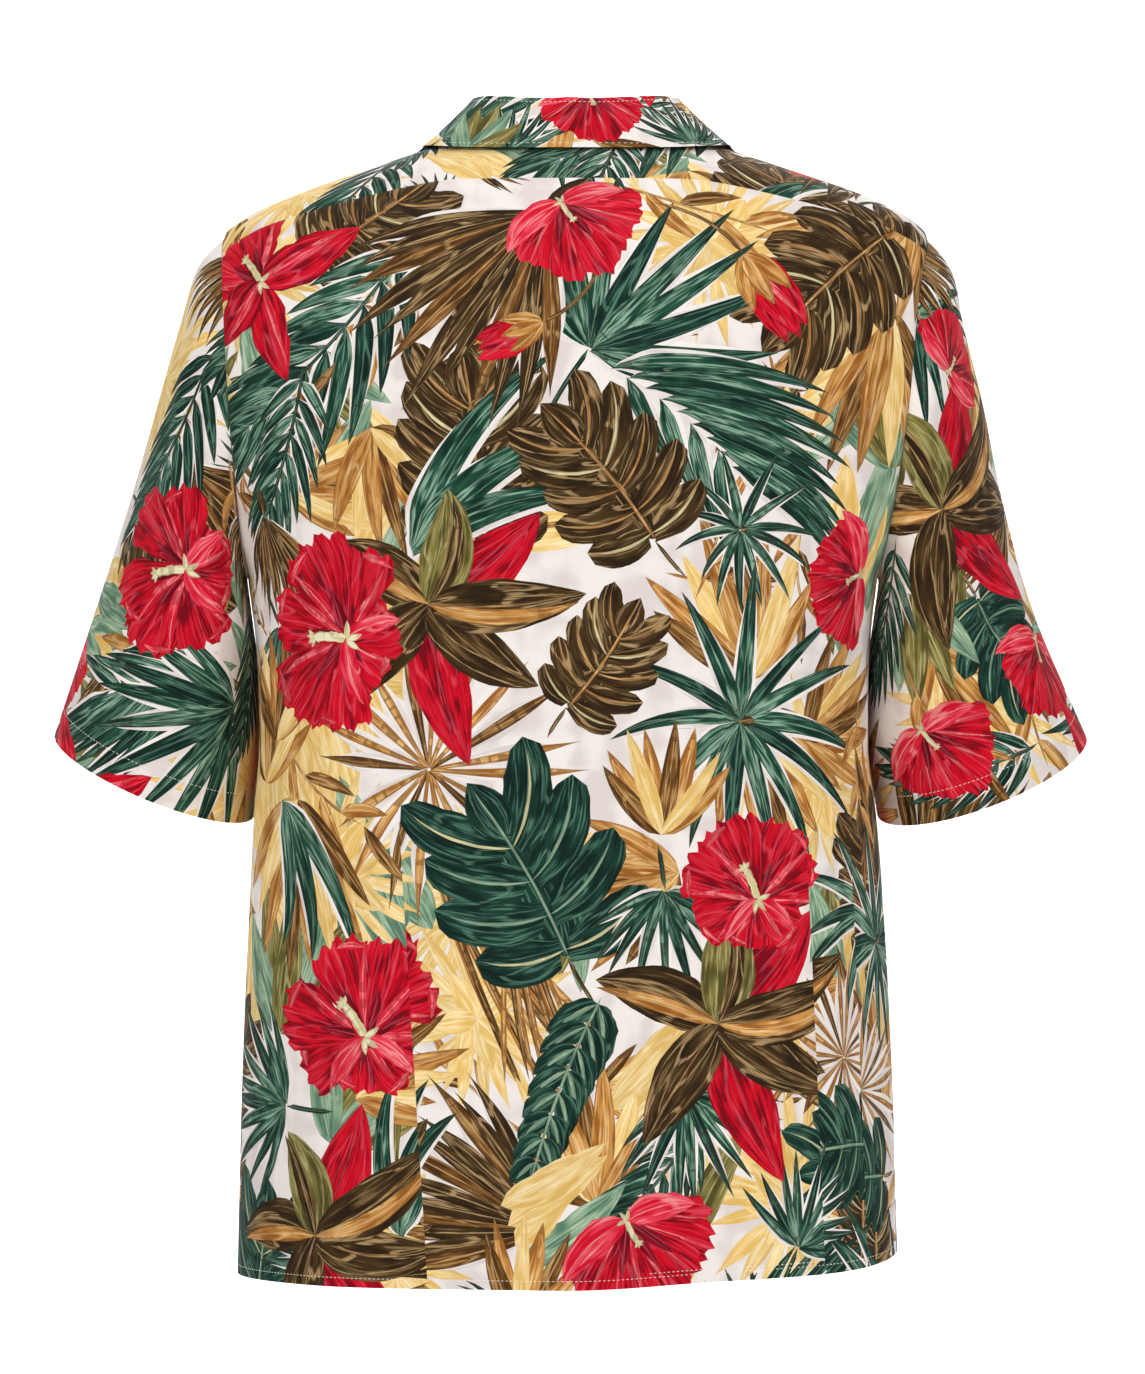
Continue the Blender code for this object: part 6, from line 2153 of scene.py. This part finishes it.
        # over each shoulder, between the neck and the sleeve
        parts = []
        for side, name in ((-1.0, "left"), (1.0, "right")):
            seam = self.sleeves[name].seam(np.linspace(-2.0, 2.0, 15) * YOKE_STEP)
            low_z = seam[-1, 2]
            back = abs(float(body.armhole_angle(side, np.array(low_z), front=False)))
            share = np.linspace(0.0, 1.0, 15)
            neck = side * (body.yoke_front_turn + (back - body.yoke_front_turn) * share)
            outer = side * np.abs(np.arctan2(seam[:, 0], -seam[:, 1]))
            parts.append((neck, outer, seam[:, 2]))
        # across the back of the neck, down to the back's seam
        low_z = parts[0][2][-1]
        shares = np.linspace(-1.0, 1.0, 121)[1:-1]
        angle = self.back_angle(shares, np.array(low_z))
        seam_z = body.yoke_back_z + (low_z - body.yoke_back_z) * body.yoke_drop(shares)
        neck = np.concatenate((parts[0][0], angle, parts[1][0][::-1]))
        outer = np.concatenate((parts[0][1], angle, parts[1][1][::-1]))
        outer_z = np.concatenate((parts[0][2], seam_z, parts[1][2][::-1]))
        share = np.linspace(0.0, 1.0, 44)[::-1, None]
        turn = neck + (outer - neck) * share
        z = body.neck(neck) + (outer_z - body.neck(neck)) * share
        grid = body.point(turn, z)
        flat = np.stack((grid[..., 0] * 1.05, grid[..., 1] + 0.6 * grid[..., 2]), -1) / MM
        return Cloth("yoke_cloth", "yoke", grid, flat, (-210.0, -100.0),
                     (Edge.SEAM, Edge.SEAM, Edge.SEAM, Edge.SEAM), (), pitch=6.0)

    def sleeve(self, name: str) -> Cloth:
        """Return one sleeve, cut open along its underarm seam.

        Args:
            name: left or right.

        Returns:
            The cut piece.
        """
        form = self.sleeves[name]
        along = (np.linspace(0.0, 1.0, 70) ** 1.1)[::-1, None]
        turn = np.linspace(-math.pi, math.pi, 181)[None, :] * -form.side
        grid = form.point(along, turn)
        height = run_along(grid)
        start = np.stack((np.broadcast_to(turn * -form.side * 0.075, height.shape), height), -1)
        flat = flatten(grid, start)
        rear = unit(np.cross(np.gradient(grid, axis=1), np.gradient(grid, axis=0)))[..., 1] < -0.75
        flat = turned_to(flat, grid[..., (0, 2)], rear) / MM
        creases = table(Crease, *{
            "left": ((-262, -120, -282, -260, 7.0, 1.2), (-300, -250, -268, -396, 8.0, -1.3),
                     (-240, -290, -262, -400, 7.0, 1.2), (-330, -300, -322, -400, 7.0, 1.0),
                     (-232, -90, -262, -170, 5.0, -0.9), (-210, -230, -236, -330, 6.0, -1.2)),
            "right": ((238, -72, 262, -84, 3.0, -1.0), (236, -84, 264, -98, 3.2, 1.0),
                      (238, -98, 262, -112, 3.0, -0.9), (234, -110, 252, -128, 3.4, 0.8),
                      (250, -150, 262, -300, 7.0, 1.2), (290, -240, 268, -396, 8.0, -1.4),
                      (232, -260, 240, -392, 7.0, 1.3), (316, -280, 326, -400, 7.0, 1.0)),
        }[name])
        shift = (-100.0, 0.0) if name == "left" else (100.0, 0.0)
        return Cloth(name + "_sleeve_cloth", name + "_sleeve", grid, flat, shift,
                     (Edge.HEM, Edge.SEAM, Edge.SEAM, Edge.SEAM), creases)

    def collar(self) -> Cloth:
        """Return the collar, from its seam up the stand, over the fold and down the fall."""
        body = self.body
        column = {name: smooth_column(COLLAR, name, "turn") for name in CollarRow._fields[1:]}
        end = math.radians(179.0)
        lean, roll, wall = math.radians(20.0), 0.0020, 0.0015
        stand_rows, fold_rows, fall_rows = 8, 13, 21
        lines = []
        for angle in np.linspace(-end, end, 241):
            side = 1.0 if angle >= 0.0 else -1.0
            row = {name: float(value(abs(math.degrees(angle)))) for name, value in column.items()}
            neck_z = float(body.neck(np.array(angle)))
            neck = body.point(angle, neck_z)
            tangent = body.point(angle + 0.01, body.neck(np.array(angle + 0.01))) - neck
            radial = np.array((math.sin(angle), -math.cos(angle), 0.0))
            upright = unit(np.cross(np.cross(tangent, UP), tangent))
            upright = upright if upright[2] > 0.0 else -upright
            rise = unit(upright * math.cos(lean) - radial * math.sin(lean))
            foot = neck - radial * (wall / 2.0) + rise * 0.0004
            top = foot + rise * row["stand"]
            edge_angle = side * math.radians(row["edge_turn"])
            outward = unit(np.cross(rise, tangent))
            outward = outward if outward.dot(radial) > 0.0 else -outward
            stand = [foot + (top - foot) * s for s in np.arange(stand_rows) / stand_rows]
            bends = np.linspace(0.0, math.pi, fold_rows)
            fold = [top + outward * roll * (1.0 - math.cos(b)) + rise * roll * math.sin(b) for b in bends]
            shares = np.linspace(0.0, 1.0, fall_rows + 1)[1:]
            on_angle = angle + (edge_angle - angle) * shares
            on_z = neck_z + (row["edge_z"] - neck_z) * shares
            on_body = body.point(on_angle, on_z) + body.normal(on_angle, on_z) * row["clear"]
            base = neck + body.normal(np.array(angle), np.array(neck_z)) * row["clear"]
            fall = on_body + (fold[-1] - base)[None, :] * ((1.0 - shares) ** 1.15)[:, None]
            lines.append(np.concatenate((np.array(stand), np.array(fold), fall)))
        middle = np.array(lines).transpose(1, 0, 2)[::-1]
        across, along = np.gradient(middle, axis=1), np.gradient(middle, axis=0)
        outer = middle + unit(np.cross(across, along)) * 0.0005
        fold_row = len(middle) - 1 - stand_rows - fold_rows // 2
        u, v = run_along(middle[fold_row]), run_along(middle)
        u, v = u - u[len(u) // 2], v - v[[fold_row]]
        flat = np.stack((np.broadcast_to(u, v.shape), v), -1) / MM
        return Cloth("collar_cloth", "collar", outer, flat, (400.0, -560.0),
                     (Edge.FREE, Edge.FREE, Edge.SEAM, Edge.FREE), (), thickness=0.0010, pitch=4.0,
                     fold=roll * math.pi / 2.0 / MM + 0.5)

    def sew(self, cloth: Cloth) -> Stitching:
        """Return the rows of stitches on one cut piece."""
        stitching, rows = Stitching(cloth), self.rows
        if cloth.node == "back_panel":
            stitching.row(cloth.inset(0, rows.hem, 3.0))
            second, (start, end) = cloth.inset(0, rows.mended_hem, 3.0), rows.mended_span
            stitching.row(second[(second[:, 0] > start) & (second[:, 0] < end)])
        elif cloth.node.endswith("front"):
            edge = 1 if cloth.node == "right_front" else 3
            stitching.row(cloth.inset(0, rows.hem, 3.0))
            stitching.row(cloth.inset(edge, rows.front_edge, 3.0))
        elif cloth.node.endswith("sleeve"):
            stitching.row(cloth.inset(0, rows.sleeve_hem, 3.0))
        elif cloth.node == "collar":
            for side in (0, 1, 3):
                line = cloth.inset(side, rows.collar_edge, 2.0)
                stitching.row(line[line[:, 1] < -3.0] if side else line[3:-3])
            ends = cloth.flat[cloth.flat.shape[0] // 2]
            across = np.linspace(ends[:, 0].min() + 6.0, ends[:, 0].max() - 6.0, 260)
            stitching.row(np.stack((across, np.full_like(across, -rows.collar_fold)), -1))
        elif cloth.node == "yoke":
            stitching.row(cloth.inset(2, rows.yoke_seam, 3.0))
        if cloth.node == "left_front":
            for z in self.button_heights():
                stitching.buttonhole(0.0, float(self.body.rise(np.array(z), math.pi)) / MM)
        return stitching

    def button_heights(self) -> list[float]:
        """Return the buttons' heights, from the neck down."""
        return [self.first_button_z - self.button_gap * step for step in range(self.buttons_in_all)]

    def buttons(self) -> list[bpy.types.Object]:
        """Make the buttons and their thread, and return the buttons."""
        button = Button()
        first = button.model()
        shell, thread = Coconut().material(), THREAD.material()
        first.data.materials.append(shell)
        flat_points = np.array([tuple(v.co) for v in first.data.vertices])
        pieces, strands = [], []
        for number, z in enumerate(self.button_heights(), start=1):
            place = self.body.point(math.pi, z)
            out = self.body.normal(np.array(math.pi), np.array(z))
            right = unit(np.cross(UP, out))
            axes = np.stack((right, np.cross(out, right), out))
            piece = first if number == 1 else first.copy()
            if number > 1:
                piece.data = first.data.copy()
                bpy.context.scene.collection.objects.link(piece)
            piece.name = piece.data.name = f"coconut_button_{number}"
            foot = place + out * BUTTON_GAP
            worn = flat_points @ axes + foot
            piece.data.vertices.foreach_set("co", worn.astype(np.float32).reshape(-1))
            piece.data.update()
            pieces.append(piece)
            strands += list(button.thread() @ axes + foot)
        sewn = tube("button_thread", np.array(strands), 0.34 * MM, thread)
        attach(sewn, "root")
        return pieces


# ---- the studio

class Lamp(NamedTuple):
    """A square lamp: where it hangs, what it shines on, its width and its power."""

    name: str
    place: tuple[float, float, float]
    target: tuple[float, float, float]
    size: float
    power: float

    def build(self) -> None:
        """Hang the lamp."""
        light = bpy.data.lights.new(self.name, "AREA")
        light.size, light.energy = self.size, self.power
        lamp = bpy.data.objects.new(self.name, light)
        lamp.location = self.place
        lamp.rotation_mode = "QUATERNION"
        aim = Vector(self.target) - Vector(self.place)
        lamp.rotation_quaternion = aim.to_track_quat("-Z", "Y")
        bpy.context.scene.collection.objects.link(lamp)


@dataclass
class Studio:
    """Pale floor, white backdrop, soft light and the camera."""

    distance: float = 3.8
    aim_x: float = 0.001
    aim_z: float = -0.357
    lens: float = 149.7
    floor_z: float = -1.25
    backdrop_y: float = 4.5
    screen_size: float = 14.0
    daylight: float = 0.34
    lamps: tuple[Lamp, ...] = (
        Lamp("key", (-1.9, -3.6, 2.4), (0.0, 0.0, -0.35), 2.4, 92.0),
        Lamp("fill", (2.6, -3.4, 0.6), (0.0, 0.0, -0.35), 3.0, 56.0),
        Lamp("top", (0.0, 0.2, 3.2), (0.0, 0.0, -0.35), 2.4, 46.0),
        Lamp("behind", (0.0, 3.2, 2.2), (0.0, 4.7, 1.3), 3.4, 190.0),
    )

    def build(self) -> None:
        """Set up floor, backdrop, lamps and camera."""
        white = PlainFinish("studio_white", (250, 250, 250), 0.9, one_sided=True).material()
        screens = (("floor", (0.0, 0.0, self.floor_z), (0, 0, 0)),
                   ("backdrop", (0.0, self.backdrop_y, 4.0), (QUARTER, 0, 0)))
        for name, place, turn in screens:
            bpy.ops.mesh.primitive_plane_add(size=self.screen_size, location=place, rotation=turn)
            screen = bpy.context.object
            screen.name = name
            screen.data.materials.append(white)
        for lamp in self.lamps:
            lamp.build()
        world = bpy.data.worlds.new("studio")
        world.use_nodes = True
        background = world.node_tree.nodes["Background"]
        background.inputs["Color"].default_value = (1.0, 1.0, 1.0, 1.0)
        background.inputs["Strength"].default_value = self.daylight
        bpy.context.scene.world = world
        lens = bpy.data.cameras.new("camera")
        lens.lens, lens.sensor_width = self.lens, 36.0
        camera = bpy.data.objects.new("camera", lens)
        camera.location = (self.aim_x, -self.distance, self.aim_z)
        camera.rotation_euler = (QUARTER, 0.0, 0.0)
        bpy.context.scene.collection.objects.link(camera)
        bpy.context.scene.camera = camera
        bpy.context.scene.view_settings.view_transform = "Standard"


def main() -> None:
    """Build the shirt and its studio, and report each piece."""
    logging.basicConfig(level=logging.INFO, format="%(message)s")
    bpy.ops.object.select_all(action="DESELECT")
    shirt = Shirt()
    cotton, thread = PrintedCotton().material(), THREAD.material()
    pieces = (shirt.back(), shirt.yoke(), shirt.front(-1.0), shirt.front(1.0),
              shirt.sleeve("left"), shirt.sleeve("right"), shirt.collar())
    for cloth in pieces:
        piece = cloth.build(shirt.bolt)
        piece.data.materials.append(cotton)
        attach(piece, "root")
        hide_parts(cloth.node)
        low, high = cloth.ring().min(axis=0) * MM, cloth.ring().max(axis=0) * MM
        size = high - low
        cloth.shoelace()
        log.info("%s: flat %.3f x %.3f m, %.3f m2", cloth.name, size[0], size[1], cloth.shoelace())
        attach(shirt.sew(cloth).build(thread), "root")
    for number, piece in enumerate(shirt.buttons(), start=1):
        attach(piece, "root")
        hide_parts(f"button_{number}")
    Studio().build()


if __name__ == "__main__":
    main()
